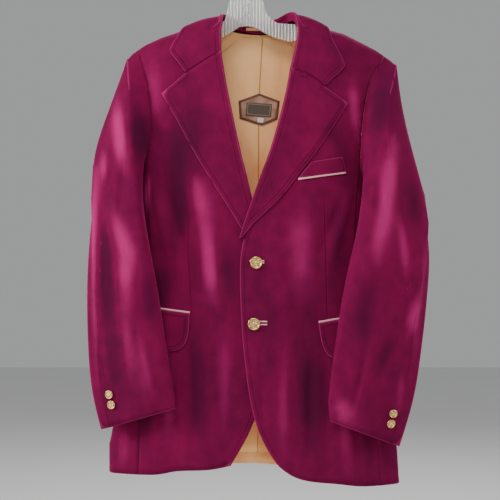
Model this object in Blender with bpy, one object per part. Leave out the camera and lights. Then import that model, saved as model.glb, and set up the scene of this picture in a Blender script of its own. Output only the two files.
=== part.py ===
"""A velvet smoking jacket on a plastic hanger, hung from its hook.

Right and left are the wearer's: right is -X, left is +X, and the front faces -Y. The origin is
the inside top of the hook, where a rail carries it. Tables are in millimetres, and each mesh is
scaled to metres when it is made. Every cloth piece is a grid of points on its outer face, and a
wall of even thickness grows inward from it.
"""
import math
from collections import namedtuple

import bpy
import numpy as np
from mathutils import Vector
from mathutils.bvhtree import BVHTree

METRE = 0.001
CLOTH = 2.0
LINING_CLOTH = 1.0
SEAM_GAP = 0.2
DEEP_CREASE = (0.2, 0.5)
LAID_GAP = 0.9
THINNING, THINNING_STEPS = 0.8, 10
RIGHT, LEFT = -1, 1

# The body in level sections: its side silhouettes and how far front and back stand from the middle
Section = namedtuple("Section", "height right left front back")
BODY = [
    Section(-90, -212, 270, 43, 35),
    Section(-176, -208, 262, 46, 37),
    Section(-213, -205, 250, 47, 38),
    Section(-258, -201, 234, 48, 39),
    Section(-325, -197, 221, 48, 40),
    Section(-403, -194, 213, 48, 40),
    Section(-535, -193, 211, 46, 36),
    Section(-646, -197, 216, 44, 36),
    Section(-759, -218, 245, 42, 38),
    Section(-852, -243, 269, 40, 38),
    Section(-960, -246, 276, 38, 38),
]
SQUARENESS = 2.6
SHOULDER_ROUNDING = 60.0
SHOULDER = [(-230, -196), (-194, -176), (-180, -167), (-152, -154), (-104, -138), (-54, -121), (-30, -110),
            (25, -104), (75, -110), (99, -120), (142, -138), (175, -147), (203, -161), (232, -176),
            (248, -187), (280, -208)]
CENTRE_BACK = [(28, -144), (24, -250), (22, -500), (19, -700), (17, -923)]

# Each side's seam lines on its panels, as (x, z) points from the top down
Seams = namedtuple("Seams", "name sign neck tip armhole_front armhole_back underarm front_seam back_seam"
                            " inner hem hem_back roll gorge_rise notch lapel_edge")
RIGHT_SEAMS = Seams(
    name="right", sign=RIGHT, neck=(-54, -121), tip=(-194, -176),
    armhole_front=[(-194, -176), (-183, -207), (-173, -241), (-169, -275), (-168, -333), (-172, -356),
                   (-180, -378)],
    armhole_back=[(-194, -176), (-184, -207), (-174, -245), (-169, -290), (-173, -335), (-185, -380)],
    underarm=-400,
    front_seam=[(-180, -378), (-175, -450), (-173, -535), (-176, -650), (-185, -760), (-191, -934)],
    back_seam=[(-185, -380), (-180, -450), (-174, -535), (-176, -650), (-184, -760), (-188, -932)],
    inner=[(-54, -121), (-49, -157), (-43, -208), (-35, -252), (-21, -320), (-10, -370), (2, -417),
           (8, -447), (18, -490), (29, -530), (35, -565), (36, -665), (34, -760), (24, -815), (7, -857),
           (-4, -891), (-18, -911), (-27, -917)],
    hem=[(-27, -917), (-60, -924), (-97, -926), (-125, -927), (-153, -933), (-191, -934)],
    hem_back=[(-188, -932), (-110, -927), (-40, -924), (17, -923)],
    roll=[(-43, -183), (-40, -208), (-32, -252), (-18, -320), (-7, -370), (5, -417), (11, -447),
          (21, -493), (25, -512)],
    gorge_rise=1.0, notch=(-107, -223),
    lapel_edge=[(-150, -258), (-121, -308), (-96, -355), (-60, -415), (-29, -463), (-7, -500), (8, -521)])
LEFT_SEAMS = Seams(
    name="left", sign=LEFT, neck=(99, -120), tip=(248, -187),
    armhole_front=[(248, -187), (232, -213), (222, -230), (215, -258), (209, -291), (205, -325),
                   (204, -353), (203, -385)],
    armhole_back=[(248, -187), (234, -213), (223, -245), (214, -291), (207, -335), (202, -378)],
    underarm=-415,
    front_seam=[(203, -385), (198, -450), (193, -535), (195, -650), (209, -760), (231, -860),
                (239, -954)],
    back_seam=[(202, -378), (196, -450), (190, -535), (192, -650), (205, -760), (228, -860),
               (236, -950)],
    inner=[(99, -120), (94, -153), (86, -190), (80, -216), (72, -260), (61, -303), (43, -364),
           (27, -407), (15, -445), (3, -485), (-9, -523), (-12, -545), (-11, -593), (-9, -649),
           (-6, -702), (1, -760), (7, -804), (13, -832), (20, -857), (30, -880), (43, -903), (50, -911)],
    hem=[(50, -911), (63, -922), (83, -936), (105, -943), (133, -947), (164, -950), (203, -955),
         (239, -954)],
    hem_back=[(236, -950), (150, -940), (70, -928), (17, -923)],
    roll=[(77, -216), (69, -260), (58, -303), (40, -364), (24, -407), (12, -445), (1, -482), (-9, -514)],
    gorge_rise=7.0, notch=(139, -247),
    lapel_edge=[(181, -275), (158, -311), (130, -354), (100, -392), (63, -440), (30, -473), (7, -493),
                (-2, -508)])
ARMHOLE_SHARES = [0, 0.03, 0.09, 0.18, 0.3, 0.44, 0.58, 0.72, 0.86, 1]
SIDE_ROWS = 11
SIDE_COLUMNS = 6
FRONT_COLUMNS = 10
NECK_COLUMNS = 4
LAPEL_ROWS = 13

# Where the left front laps over the right one, it lies further out by this much
LAP = 6.0
LAP_FULL, LAP_NONE = 55.0, 125.0
LAP_TOP, LAP_WHOLE = -385.0, -450.0

# The largest folds, each a soft ridge (or a trough, where its rise is negative) along a line
Fold = namedtuple("Fold", "start end width rise")
FRONT_FOLDS = [
    Fold((-95, -377), (-97, -459), 12, 2.0),
    Fold((-72, -560), (-11, -700), 15, -3.0),
    Fold((-86, -660), (-60, -890), 20, 4.0),
    Fold((-158, -400), (-157, -462), 9, 3.0),
    Fold((-102, -470), (-100, -640), 8, -2.5),
    Fold((140, -455), (143, -645), 8, -2.5),
    Fold((64, -447), (66, -680), 22, 3.0),
    Fold((118, -700), (125, -900), 22, 3.5),
    Fold((175, -760), (195, -940), 18, 4.0),
    Fold((-150, -760), (-160, -930), 18, 4.0),
]
BACK_FOLDS = [
    Fold((-90, -420), (-100, -640), 22, 3.0),
    Fold((110, -430), (122, -660), 24, 3.5),
    Fold((-60, -620), (-85, -900), 20, -3.0),
    Fold((70, -650), (95, -910), 20, -3.0),
    Fold((-140, -700), (-170, -920), 20, 4.0),
    Fold((165, -720), (200, -930), 20, 4.0),
]
SLEEVE_FOLDS = {
    RIGHT: [
        Fold((-249, -480), (-246, -800), 14, -5.0),
        Fold((-245, -430), (-204, -623), 18, 5.0),
        Fold((-204, -623), (-187, -800), 18, 5.0),
        Fold((-160, -600), (-200, -585), 9, -3.5),
    ],
    LEFT: [
        Fold((257, -306), (227, -535), 20, 6.0),
        Fold((227, -535), (218, -800), 20, 6.0),
        Fold((194, -520), (165, -790), 12, -4.0),
        Fold((275, -610), (318, -672), 9, -4.0),
        Fold((272, -668), (318, -632), 9, -3.0),
    ],
}

# The sleeves in rings: the outer and the inner edge of each, and how far it bulges out of that line
Ring = namedtuple("Ring", "outer_x outer_y outer_z inner_x inner_y inner_z front back swing")
SLEEVE_RINGS = {
    RIGHT: [
        Ring(-213, 0, -190, -184, -27, -449, 47, 60, 34),
        Ring(-240, -1, -268, -169, -48, -529, 51, 56, 23),
        Ring(-268, -3, -340, -158.5, -53, -580, 48, 50, 12),
        Ring(-275, -5, -385, -152.5, -56, -618, 45, 46, 0),
        Ring(-278, -8, -440, -147.5, -57, -652, 41, 41, 0),
        Ring(-281, -12, -505, -142.5, -58, -685, 36, 36, 0),
        Ring(-284, -17, -580, -138, -58, -712, 31, 31, 0),
        Ring(-283, -23, -650, -134, -58, -740, 26, 25, 0),
        Ring(-280, -29, -720, -129, -58, -768, 21, 20, 0),
        Ring(-274, -35, -787, -125, -57, -793, 16, 15, 0),
        Ring(-256, -40, -852, -124, -56, -813, 12, 12, 0),
    ],
    LEFT: [
        Ring(270, 0, -203, 204, -27, -446, 47, 60, 26),
        Ring(279, -1, -285, 195, -47, -501, 51, 56, 18.4),
        Ring(306, -3, -385, 184, -55, -546, 48, 50, 4),
        Ring(320, -5, -435, 177, -57, -577, 45, 46, 0),
        Ring(328, -8, -485, 170, -58, -611, 41, 41, 0),
        Ring(331, -12, -540, 164, -58, -646, 36, 36, 0),
        Ring(325, -17, -600, 159, -58, -683, 31, 31, 0),
        Ring(318, -23, -662, 153, -58, -721, 26, 25, 0),
        Ring(309, -29, -728, 148, -58, -759, 21, 20, 0),
        Ring(298, -35, -800, 144, -57, -801, 16, 15, 0),
        Ring(271, -40, -882, 147, -56, -835, 12, 12, 0),
    ],
}
BACK_SEAM_INDEX, FRONT_SEAM_INDEX = 20, 13
BACK_SEAM_ANGLE, FRONT_SEAM_ANGLE = 43.0, 195.0
UNDER_SLEEVE_ANGLES = [195, 220, 248, 278, 308, 336, 362, 403]
SEAM_TURN_RINGS = 8
FOLD_COLUMN = 1
BLUNT_FLAT, BLUNT_ROUND, BLUNT_DEPTH = 0.45, 0.85, 45.0
SQUARE_RINGS = 3
UNDERARM_ANGLE, UNDERARM_SPREAD, UNDERARM_PUSH, UNDERARM_DROP = 200.0, 100.0, 8.0, 8.0

# The collar from its right front end round the back of the neck to its left front end. Where a row
# gives no y, the point lies on the front
Station = namedtuple("Station", "crest_x crest_y crest_z edge_x edge_y edge_z neck_x neck_y neck_z")
FLAT = None
COLLAR = [
    Station(-43, FLAT, -182.2, -107, FLAT, -222.2, FLAT, FLAT, FLAT),
    Station(-43, FLAT, -170, -122, FLAT, -201, FLAT, FLAT, FLAT),
    Station(-44, FLAT, -157, -136, FLAT, -182, FLAT, FLAT, FLAT),
    Station(-44, FLAT, -143, -126, FLAT, -161, FLAT, FLAT, FLAT),
    Station(-45, -31, -128, -116, -20, -142, -44, -28, -139),
    Station(-45, -13, -114, -107, -3, -132, -43, -13, -121),
    Station(-43, 6, -109, -97, 19, -135, -41, 6, -119.5),
    Station(-34, 19, -110, -79, 33, -155, -32, 16, -129),
    Station(-17, 29, -114, -49, 41, -173, -16, 24, -135),
    Station(5, 34, -118, -12, 42, -183, 6, 28, -140),
    Station(28, 36, -119, 28, 42, -186, 28, 30, -142),
    Station(50, 33, -116, 68, 42, -180, 49, 27, -139),
    Station(64, 25, -111, 103, 39, -164, 62, 21, -133),
    Station(77, 10, -106, 127, 25, -142, 74, 8, -125),
    Station(87, -8, -108, 140, 2, -131, 84, -9, -124),
    Station(92, -27, -124, 148, -18, -139, 90, -26, -136),
    Station(91, FLAT, -146, 152, FLAT, -158, FLAT, FLAT, FLAT),
    Station(88, FLAT, -168, 164, FLAT, -184, FLAT, FLAT, FLAT),
    Station(83, FLAT, -192, 175, FLAT, -210, FLAT, FLAT, FLAT),
    Station(80, FLAT, -204, 157, FLAT, -228, FLAT, FLAT, FLAT),
    Station(77, FLAT, -215.2, 139, FLAT, -246.2, FLAT, FLAT, FLAT),
]
COLLAR_STEPS = 2
ROLL_LIFT = 5.0
ROLL_RADIUS = 2.2
CURL_WIDTHS = (20.0, 55.0)
CURL_IN, CURL_DEEP, CURL_MIDDLE, FLAT_OUT = 0.4, 1.5, 0.45, 3.0
ROLL_CLEAR = 1.5
CREST_RADIUS = 3.4
LEAF_BULGE = 4.0

# The lining of the back, in level rows of its half width
LINING = [(-148, 38), (-165, 56), (-200, 100), (-260, 148), (-400, 160), (-650, 160), (-903, 168)]
LINING_EASE_TOP, LINING_EASE = 1.0, 3.8
LINING_COLUMNS = 12
LINING_ROWS = 15

# What lies on the panels
PATCH = [(24, -250), (61, -264), (57, -297), (29, -309), (-12, -296), (-14, -264)]
PATCH_THICK, PATCH_GAP, LABEL_GAP = 1.6, 0.5, 0.3
LABEL_CENTRE, LABEL_SIZE, LABEL_TILT, LABEL_THICK = (23, -280), (46, 24), -4.0, 0.7
TAB_CENTRE, TAB_SIZE, TAB_THICK = (26, -299), (11, 8), 0.6
LOOP_ENDS, LOOP_HEIGHT, LOOP_WIDTH, LOOP_THICK, LOOP_GAP = (0, 26), -134.0, 5.0, 1.2, 0.4
WELT = [(92, -408), (177, -396), (171, -370), (116, -379)]
WELT_THICK = 1.6
PIPING_HIGH, PIPING_DEEP, PIPING_GAP = 3.0, 2.0, 0.5
FLAP_DROP, FLAP_CORNER, FLAP_FRONT, FLAP_THICK = 72.0, 34.0, 38.0, 1.8
FLAP_STEPS = [0, 4, 10, 20, 34, 48, 60, 70, 79, 88, 97, 106]
FLAP_GAP = 1.3
FLAP_ROWS = 4
Flap = namedtuple("Flap", "start_x top_z slope")
FLAPS = {RIGHT: Flap(-99, -647, 0.12), LEFT: Flap(128, -664, 0.15)}
Button = namedtuple("Button", "name x z radius height")
FRONT_BUTTONS = [Button("front_button_1", 18, -557, 11.0, 4.5),
                 Button("front_button_2", 14, -665, 11.0, 4.5)]
BUTTON_GAP, SLEEVE_BUTTON_GAP = 0.3, 0.5
SLEEVE_BUTTONS = {
    RIGHT: [Button("right_sleeve_button_1", -240, -789, 7.5, 3.4),
            Button("right_sleeve_button_2", -236, -807, 7.5, 3.4)],
    LEFT: [Button("left_sleeve_button_1", 258, -822, 7.5, 3.4),
           Button("left_sleeve_button_2", 254, -840, 7.5, 3.4)],
}
BUTTON_SIDES = 20

# The hanger
HANGER_DEEP = 8.0
HANGER_UNDER_CLOTH = 5.0
HANGER_UNDER_NECK = -130.0
HANGER_NECK = [(-47, -129), (-38, -123), (-34, -107), (-31, -92), (-27, -80), (-18, -72), (-8, -70),
               (8, -70), (18, -72), (27, -80), (31, -92), (35, -107), (44, -120), (56, -128)]
HANGER_ARM_RIGHT = [-60, -85, -110, -135, -160, -178]
HANGER_ARM_LEFT = [80, 105, 130, 155, 180, 198]
HANGER_ARM_HIGH = 27.0
HANGER_TIP_HIGH = 15.0
HANGER_ARCH = [(77, -161), (49, -153), (31, -144), (15, -135), (2, -133), (-11, -134), (-25, -143), (-46, -156)]
WIRE = 3.8
HOOK_INSIDE = 22.0
HOOK_END_ANGLE = 205.0
HOOK_STEPS = 26


def hermite(knots, values, at):
    """A smooth curve through the values at the knots, read at other places."""
    knots = np.asarray(knots, float)
    values = np.asarray(values, float)
    slopes = np.gradient(values, knots, axis=0)
    at = np.clip(np.asarray(at, float), knots[0], knots[-1])
    cell = np.clip(np.searchsorted(knots, at, side="right") - 1, 0, len(knots) - 2)
    width = knots[cell + 1] - knots[cell]
    share = (at - knots[cell]) / width
    if values.ndim == 2:
        share = share[:, None]
        width = width[:, None]
    start = (1 + 2 * share) * (1 - share) ** 2 * values[cell] + share * (1 - share) ** 2 * width * slopes[cell]
    end = share ** 2 * (3 - 2 * share) * values[cell + 1] - share ** 2 * (1 - share) * width * slopes[cell + 1]
    return start + end


def smooth_line(points, shares):
    """Points at the given shares of the length of a smooth line through the points."""
    points = np.array(points, float)
    knots = np.concatenate([[0], np.cumsum(np.linalg.norm(np.diff(points, axis=0), axis=1))])
    dense = hermite(knots, points, np.linspace(0, knots[-1], 300))
    along = np.concatenate([[0], np.cumsum(np.linalg.norm(np.diff(dense, axis=0), axis=1))])
    wanted = np.asarray(shares, float) * along[-1]
    return np.stack([np.interp(wanted, along, dense[:, axis]) for axis in range(points.shape[1])], axis=1)


def line_at_heights(points, heights):
    """Points at the given heights on a smooth line that runs down."""
    dense = smooth_line(points, np.linspace(0, 1, 200))
    x = np.interp(-np.asarray(heights, float), -dense[:, 1], dense[:, 0])
    return np.stack([x, heights], axis=1)


def smooth_step(value, none, full):
    """0 at none, 1 at full, and a soft step between them."""
    share = np.clip((value - none) / (full - none), 0, 1)
    return share * share * (3 - 2 * share)


def section_at(z):
    """The body's section at a height."""
    depths = [-row.height for row in BODY]
    return Section(z, *hermite(depths, [row[1:] for row in BODY], [-z])[0])


def side_share(x, z):
    """How far out towards the side a point is: 0 in the middle, 1 at the silhouette."""
    section = section_at(z)
    middle = (section.left + section.right) / 2
    half = (section.left - section.right) / 2
    return min(abs(x - middle) / half, 1.0)


def side_rounding(x, z):
    return (1 - side_share(x, z) ** SQUARENESS) ** (1 / SQUARENESS)


def shoulder_rounding(x, z):
    """0 on the shoulder seam, 1 well below it."""
    xs = [point[0] for point in SHOULDER]
    ridge = np.interp(x, xs, [point[1] for point in SHOULDER])
    below = np.clip((ridge - z) / SHOULDER_ROUNDING, 0, 1)
    return math.sqrt(1 - (1 - below) ** 2)


def fold_rise(folds, x, z):
    """How far the folds raise the cloth at a point."""
    rise = 0.0
    place = np.array([x, z], float)
    for fold in folds:
        start, end = np.array(fold.start, float), np.array(fold.end, float)
        line = end - start
        along = np.dot(place - start, line) / np.dot(line, line)
        nearest = start + np.clip(along, 0, 1) * line
        away = np.linalg.norm(place - nearest) / fold.width
        rise += fold.rise * math.exp(-away * away)
    return rise


def front_y(x, z):
    depth = section_at(z).front * shoulder_rounding(x, z) + fold_rise(FRONT_FOLDS, x, z)
    return -depth * side_rounding(x, z)


def back_y(x, z):
    depth = section_at(z).back * shoulder_rounding(x, z) + fold_rise(BACK_FOLDS, x, z)
    return depth * side_rounding(x, z)


def lap_at(x, z):
    """How far the left front is held out by the right front that lies under it."""
    edge = line_at_heights(LEFT_SEAMS.inner, [z])[0][0]
    across = 1 - smooth_step(x - edge, LAP_FULL, LAP_NONE)
    return LAP * across * smooth_step(-z, -LAP_TOP, -LAP_WHOLE)


def face_y(side, x, z):
    """The outer face of one front."""
    return front_y(x, z) - (lap_at(x, z) if side == LEFT else 0.0)


def turn_of(x, z, at_back):
    """The angle round the body of a point on its front or back: 0 in front, pi behind."""
    turn = math.asin(side_share(x, z) ** (SQUARENESS / 2))
    return math.pi - turn if at_back else turn


def body_point(side, turn, z):
    """A point of the body's side at an angle and a height."""
    section = section_at(z)
    middle = (section.left + section.right) / 2
    half = (section.left - section.right) / 2
    x = middle + side * half * abs(math.sin(turn)) ** (2 / SQUARENESS)
    y = front_y(x, z) if turn < math.pi / 2 else back_y(x, z)
    return (x, y, z)


def coons(top, bottom, first, last, column_shares, row_shares):
    """A grid between four border lines: rows run from first to last, from top to bottom."""
    grid = []
    for row, v in enumerate(row_shares):
        line = []
        for column, u in enumerate(column_shares):
            across = (1 - u) * first[row] + u * last[row]
            down = (1 - v) * top[column] + v * bottom[column]
            corners = ((1 - u) * (1 - v) * top[0] + u * (1 - v) * top[-1]
                       + (1 - u) * v * bottom[0] + u * v * bottom[-1])
            line.append(across + down - corners)
        grid.append(line)
    return grid


def outer_border(armhole, seam):
    """A panel's outer border: the armhole and then the side seam."""
    upper = smooth_line(armhole, ARMHOLE_SHARES)
    heights = np.linspace(seam[0][1], seam[-1][1], SIDE_ROWS + 1)
    return np.concatenate([upper, line_at_heights(seam, heights)[1:]])


def front_grid(seams):
    """One front, from its side seam to its roll line and front edge."""
    outer = outer_border(seams.armhole_front, seams.front_seam)
    row_shares = (outer[:, 1] - outer[0, 1]) / (outer[-1, 1] - outer[0, 1])
    row_shares = np.maximum.accumulate(row_shares)
    top_z, bottom_z = seams.inner[0][1], seams.inner[-1][1]
    inner = line_at_heights(seams.inner, top_z + (bottom_z - top_z) * row_shares)
    beside_roll = smooth_step(inner[:, 1], seams.roll[-1][1], seams.roll[-2][1])
    beside_roll *= smooth_step(inner[:, 1], seams.neck[1], seams.neck[1] - 30)
    inner[:, 0] += seams.sign * ROLL_CLEAR * beside_roll
    column_shares = np.linspace(0, 1, FRONT_COLUMNS + 1)
    top = shoulder_points(seams)
    bottom = smooth_line(seams.hem[::-1], column_shares)
    flat = coons(top, bottom, outer, inner, column_shares, row_shares)
    return [[(x, face_y(seams.sign, x, z), z) for x, z in row] for row in flat]


def shoulder_points(seams):
    """The shoulder seam from its tip to the neck."""
    xs = np.linspace(seams.tip[0], seams.neck[0], FRONT_COLUMNS + 1)
    ridge = np.interp(xs, [point[0] for point in SHOULDER], [point[1] for point in SHOULDER])
    ridge[0] = seams.tip[1]
    return np.stack([xs, ridge], axis=1)


def back_grid(seams):
    """One back, from its side seam to the centre back seam."""
    outer = outer_border(seams.armhole_back, seams.back_seam)
    row_shares = (outer[:, 1] - outer[0, 1]) / (outer[-1, 1] - outer[0, 1])
    top_z, bottom_z = CENTRE_BACK[0][1], CENTRE_BACK[-1][1]
    inner = line_at_heights(CENTRE_BACK, top_z + (bottom_z - top_z) * row_shares)
    shoulder = shoulder_points(seams)
    neck_end = np.array(CENTRE_BACK[0], float)
    neck_start = shoulder[-1]
    shares = np.linspace(0, 1, NECK_COLUMNS + 1)[1:]
    fall = np.sqrt(1 - (1 - shares) ** 2)
    neck_x = neck_start[0] + (neck_end[0] - neck_start[0]) * shares
    neck_z = neck_start[1] + (neck_end[1] - neck_start[1]) * fall
    top = np.concatenate([shoulder, np.stack([neck_x, neck_z], axis=1)])
    widths = abs(top[:, 0] - top[0, 0])
    column_shares = widths / widths[-1]
    bottom = smooth_line(seams.hem_back, column_shares)
    flat = coons(top, bottom, outer, inner, column_shares, row_shares)
    return [[(x, back_y(x, z), z) for x, z in row] for row in flat]


def side_grid(seams):
    """One side panel, from the front's seam round to the back's seam."""
    shares = np.linspace(0, 1, SIDE_ROWS + 1)
    front = line_at_heights(seams.front_seam, np.linspace(seams.front_seam[0][1], seams.front_seam[-1][1],
                                                          SIDE_ROWS + 1))
    back = line_at_heights(seams.back_seam, np.linspace(seams.back_seam[0][1], seams.back_seam[-1][1],
                                                        SIDE_ROWS + 1))
    dip = seams.underarm - (front[0, 1] + back[0, 1]) / 2
    grid = []
    for row, down in enumerate(shares):
        line = []
        front_turn = turn_of(*front[row], False)
        back_turn = turn_of(*back[row], True)
        for column in range(SIDE_COLUMNS + 1):
            across = column / SIDE_COLUMNS
            turn = front_turn + (back_turn - front_turn) * across
            z = front[row, 1] + (back[row, 1] - front[row, 1]) * across
            z += dip * (1 - down) ** 3 * math.sin(math.pi * across)
            line.append(body_point(seams.sign, turn, z))
        grid.append(line)
    return grid


def armhole_ring(front, side, back):
    """The armhole's points from the shoulder tip down the front, under the arm and up the back."""
    last = len(ARMHOLE_SHARES) - 1
    down = [front[row][0] for row in range(last + 1)]
    under = side[0][1:]
    up = [back[row][0] for row in range(last - 1, 0, -1)]
    return [np.array(point, float) for point in down + under + up]


def ring_angles(ring):
    """The angle of each point of the armhole ring: 0 at the shoulder tip, 180 at the front fold."""
    count = len(ring)
    bottom = len(ARMHOLE_SHARES) - 1 + FOLD_COLUMN
    steps = [np.linalg.norm(ring[(index + 1) % count] - ring[index]) for index in range(count)]
    along = np.concatenate([[0], np.cumsum(steps)])
    angles = []
    for index in range(count):
        if index <= bottom:
            angles.append(180 * along[index] / along[bottom])
        else:
            angles.append(180 + 180 * (along[index] - along[bottom]) / (along[-1] - along[bottom]))
    return angles


def sleeve_angles(start_angles, ring_number):
    """The angles of a ring's points: the back seam turns to the front as it runs down the sleeve."""
    count = len(start_angles)
    turned = smooth_step(ring_number, 0, SEAM_TURN_RINGS)
    angles = [0.0] * count
    top_count = FRONT_SEAM_INDEX + count - BACK_SEAM_INDEX
    for step in range(top_count + 1):
        index = (BACK_SEAM_INDEX + step) % count
        begin = start_angles[index] - (360 if index >= BACK_SEAM_INDEX else 0)
        end = BACK_SEAM_ANGLE + (FRONT_SEAM_ANGLE - BACK_SEAM_ANGLE) * step / top_count
        angles[index] = begin + (end - begin) * turned
    for step, end in enumerate(UNDER_SLEEVE_ANGLES):
        index = FRONT_SEAM_INDEX + step
        if index not in (FRONT_SEAM_INDEX, BACK_SEAM_INDEX):
            angles[index] = start_angles[index] + (end - start_angles[index]) * turned
    return angles


def ring_point(side, number, angle):
    """A point of a sleeve ring at an angle: 0 at the outer edge, 180 at the inner edge."""
    ring = SLEEVE_RINGS[side][number]
    turn = math.radians(angle)
    across = (1 - math.cos(turn)) / 2
    outer = np.array([ring.outer_x, ring.outer_y, ring.outer_z], float)
    inner = np.array([ring.inner_x, ring.inner_y, ring.inner_z], float)
    point = outer + (inner - outer) * across
    lean = abs(math.sin(turn))
    blunt = BLUNT_FLAT + (BLUNT_ROUND - BLUNT_FLAT) * min(ring.front / BLUNT_DEPTH, 1)
    if angle % 360 < 180:
        point[1] -= ring.front * lean ** blunt + fold_rise(SLEEVE_FOLDS[side], point[0], point[2]) * lean
    else:
        square = smooth_step(number, SQUARE_RINGS, 0) * across
        blunt += (BLUNT_FLAT - blunt) * square
        point[1] += ring.back * lean ** blunt * (1 - 0.6 * across + 0.4 * square)
        point[0] += side * ring.swing * lean ** (1 - 0.4 * square) * across
    return point


def sleeve_grids(side, armhole):
    """The top sleeve and the under sleeve, in rings from the armhole to the cuff."""
    start_angles = ring_angles(armhole)
    rings = [armhole]
    first = [ring_point(side, 0, angle) for angle in sleeve_angles(start_angles, 1)]
    halfway = []
    for start, end, angle in zip(armhole, first, start_angles):
        under = smooth_step(abs(angle - UNDERARM_ANGLE), UNDERARM_SPREAD, 10)
        point = start + (end - start) * 0.5
        hanging = start + (side * UNDERARM_PUSH, (end[1] - start[1]) * 0.25, -UNDERARM_DROP)
        halfway.append(point + (hanging - point) * under)
    rings.append(halfway)
    for number in range(len(SLEEVE_RINGS[side])):
        angles = sleeve_angles(start_angles, number + 1)
        rings.append([ring_point(side, number, angle) for angle in angles])
    count = len(armhole)
    top_count = FRONT_SEAM_INDEX + count - BACK_SEAM_INDEX
    top = [[ring[(BACK_SEAM_INDEX + step) % count] for step in range(top_count + 1)] for ring in rings]
    under = [ring[FRONT_SEAM_INDEX:BACK_SEAM_INDEX + 1] for ring in rings]
    return top, under


def gorge_point(seams, share):
    """A point of the seam between lapel and collar, from the roll line to the notch."""
    start, end = np.array(seams.roll[0], float), np.array(seams.notch, float)
    point = start + (end - start) * share
    point[1] += seams.gorge_rise * 4 * share * (1 - share)
    return point


def lapel_grid(seams):
    """One lapel, from its roll line out to its edge."""
    side = seams.sign
    shares = np.linspace(0, 1, LAPEL_ROWS)
    roll = smooth_line(seams.roll, shares)
    edge = smooth_line(seams.lapel_edge, shares)
    gorge = [gorge_point(seams, share) for share in (0.15, 0.35, 0.55, 0.78, 1.0)]
    top = np.array([roll[0]] + gorge + [edge[0]])
    widths = np.concatenate([[0], np.cumsum(np.linalg.norm(np.diff(top, axis=0), axis=1))])
    column_shares = widths / widths[-1]
    bottom = roll[-1] + (edge[-1] - roll[-1]) * column_shares[:, None]
    flat = coons(top, bottom, roll, edge, column_shares, shares)
    grid = []
    for row, line in enumerate(flat):
        lift = ROLL_LIFT + (CLOTH + LAID_GAP - ROLL_LIFT) * smooth_step(shares[row], 0.55, 0.9)
        grid.append(rolled_row(side, line, lift))
    return grid


def rolled_row(side, line, roll_lift):
    """A row of a turned-out sheet: it curls up from the roll line and then lies on the front."""
    laid = CLOTH + LAID_GAP
    away = (line[1] - line[0]) / np.linalg.norm(line[1] - line[0])
    x, z = line[0]
    surface = face_y(side, x, z)
    width = np.linalg.norm(line[-1] - line[0])
    flat = 1 - smooth_step(width, *CURL_WIDTHS)
    start_in = CURL_IN * (1 - flat) - FLAT_OUT * flat
    start_deep = CURL_DEEP * (1 - flat) - roll_lift * flat
    row = [(x + side * start_in, surface + start_deep, z),
           (x - side * FLAT_OUT / 2 * flat, surface - roll_lift * (CURL_MIDDLE + (1 - CURL_MIDDLE) * flat), z)]
    near = line[0] + away * min(ROLL_RADIUS, np.linalg.norm(line[1] - line[0]) * 0.5)
    row.append((near[0], face_y(side, *near) - roll_lift, near[1]))
    for point in line[1:]:
        share = np.linalg.norm(point - line[0]) / width
        lift = roll_lift + (laid - roll_lift) * smooth_step(share, 0.05, 0.75)
        row.append((point[0], face_y(side, *point) - lift, point[1]))
    return row


def collar_row(station, side, rise):
    """The collar's section at a station: up the stand, over the crest and down the leaf."""
    if station.crest_y is FLAT:
        start = np.array([station.crest_x, station.crest_z], float)
        end = np.array([station.edge_x, station.edge_z], float)
        line = []
        for share in (0, 0.13, 0.3, 0.47, 0.65, 0.83, 1.0):
            point = start + (end - start) * share
            point[1] += rise * 4 * share * (1 - share)
            line.append(point)
        return rolled_row(side, line, ROLL_LIFT)
    crest = np.array([station.crest_x, station.crest_y, station.crest_z], float)
    edge = np.array([station.edge_x, station.edge_y, station.edge_z], float)
    neck = np.array([station.neck_x, station.neck_y, station.neck_z], float)
    outward = edge - crest
    outward[2] = 0
    outward *= CREST_RADIUS / np.linalg.norm(outward)
    drop = np.array([0, 0, CREST_RADIUS])
    row = [neck, crest - outward - drop * 1.6, crest - outward * 0.55 - drop * 0.35]
    row += [crest + outward * 0.55 - drop * 0.35]
    leaf = crest + outward - drop * 1.2
    fall = edge - leaf
    bulge = np.cross(fall, np.cross(np.array([0, 0, 1.0]), fall))
    bulge *= LEAF_BULGE / np.linalg.norm(bulge)
    if np.dot(bulge, outward) < 0:
        bulge = -bulge
    row += [leaf + fall * share + bulge * math.sin(math.pi * share) for share in (0, 0.25, 0.5, 0.76, 1.0)]
    return [tuple(point) for point in row]


def collar_grid():
    """The whole collar, with its stations joined by a smooth line."""
    rows = []
    last = len(COLLAR) - 1
    for number, station in enumerate(COLLAR):
        side = RIGHT if number <= last // 2 else LEFT
        end = 0 if number <= last // 2 else last
        rise = (RIGHT_SEAMS if side == RIGHT else LEFT_SEAMS).gorge_rise
        rise *= max(0.0, 1 - abs(number - end) / 2)
        rows.append(collar_row(station, side, rise))
    rows = np.array(rows)
    shares = np.linspace(0, last, last * COLLAR_STEPS + 1)
    columns = [hermite(np.arange(last + 1), rows[:, column], shares) for column in range(rows.shape[1])]
    return [[tuple(column[row]) for column in columns] for row in range(len(shares))]


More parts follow.
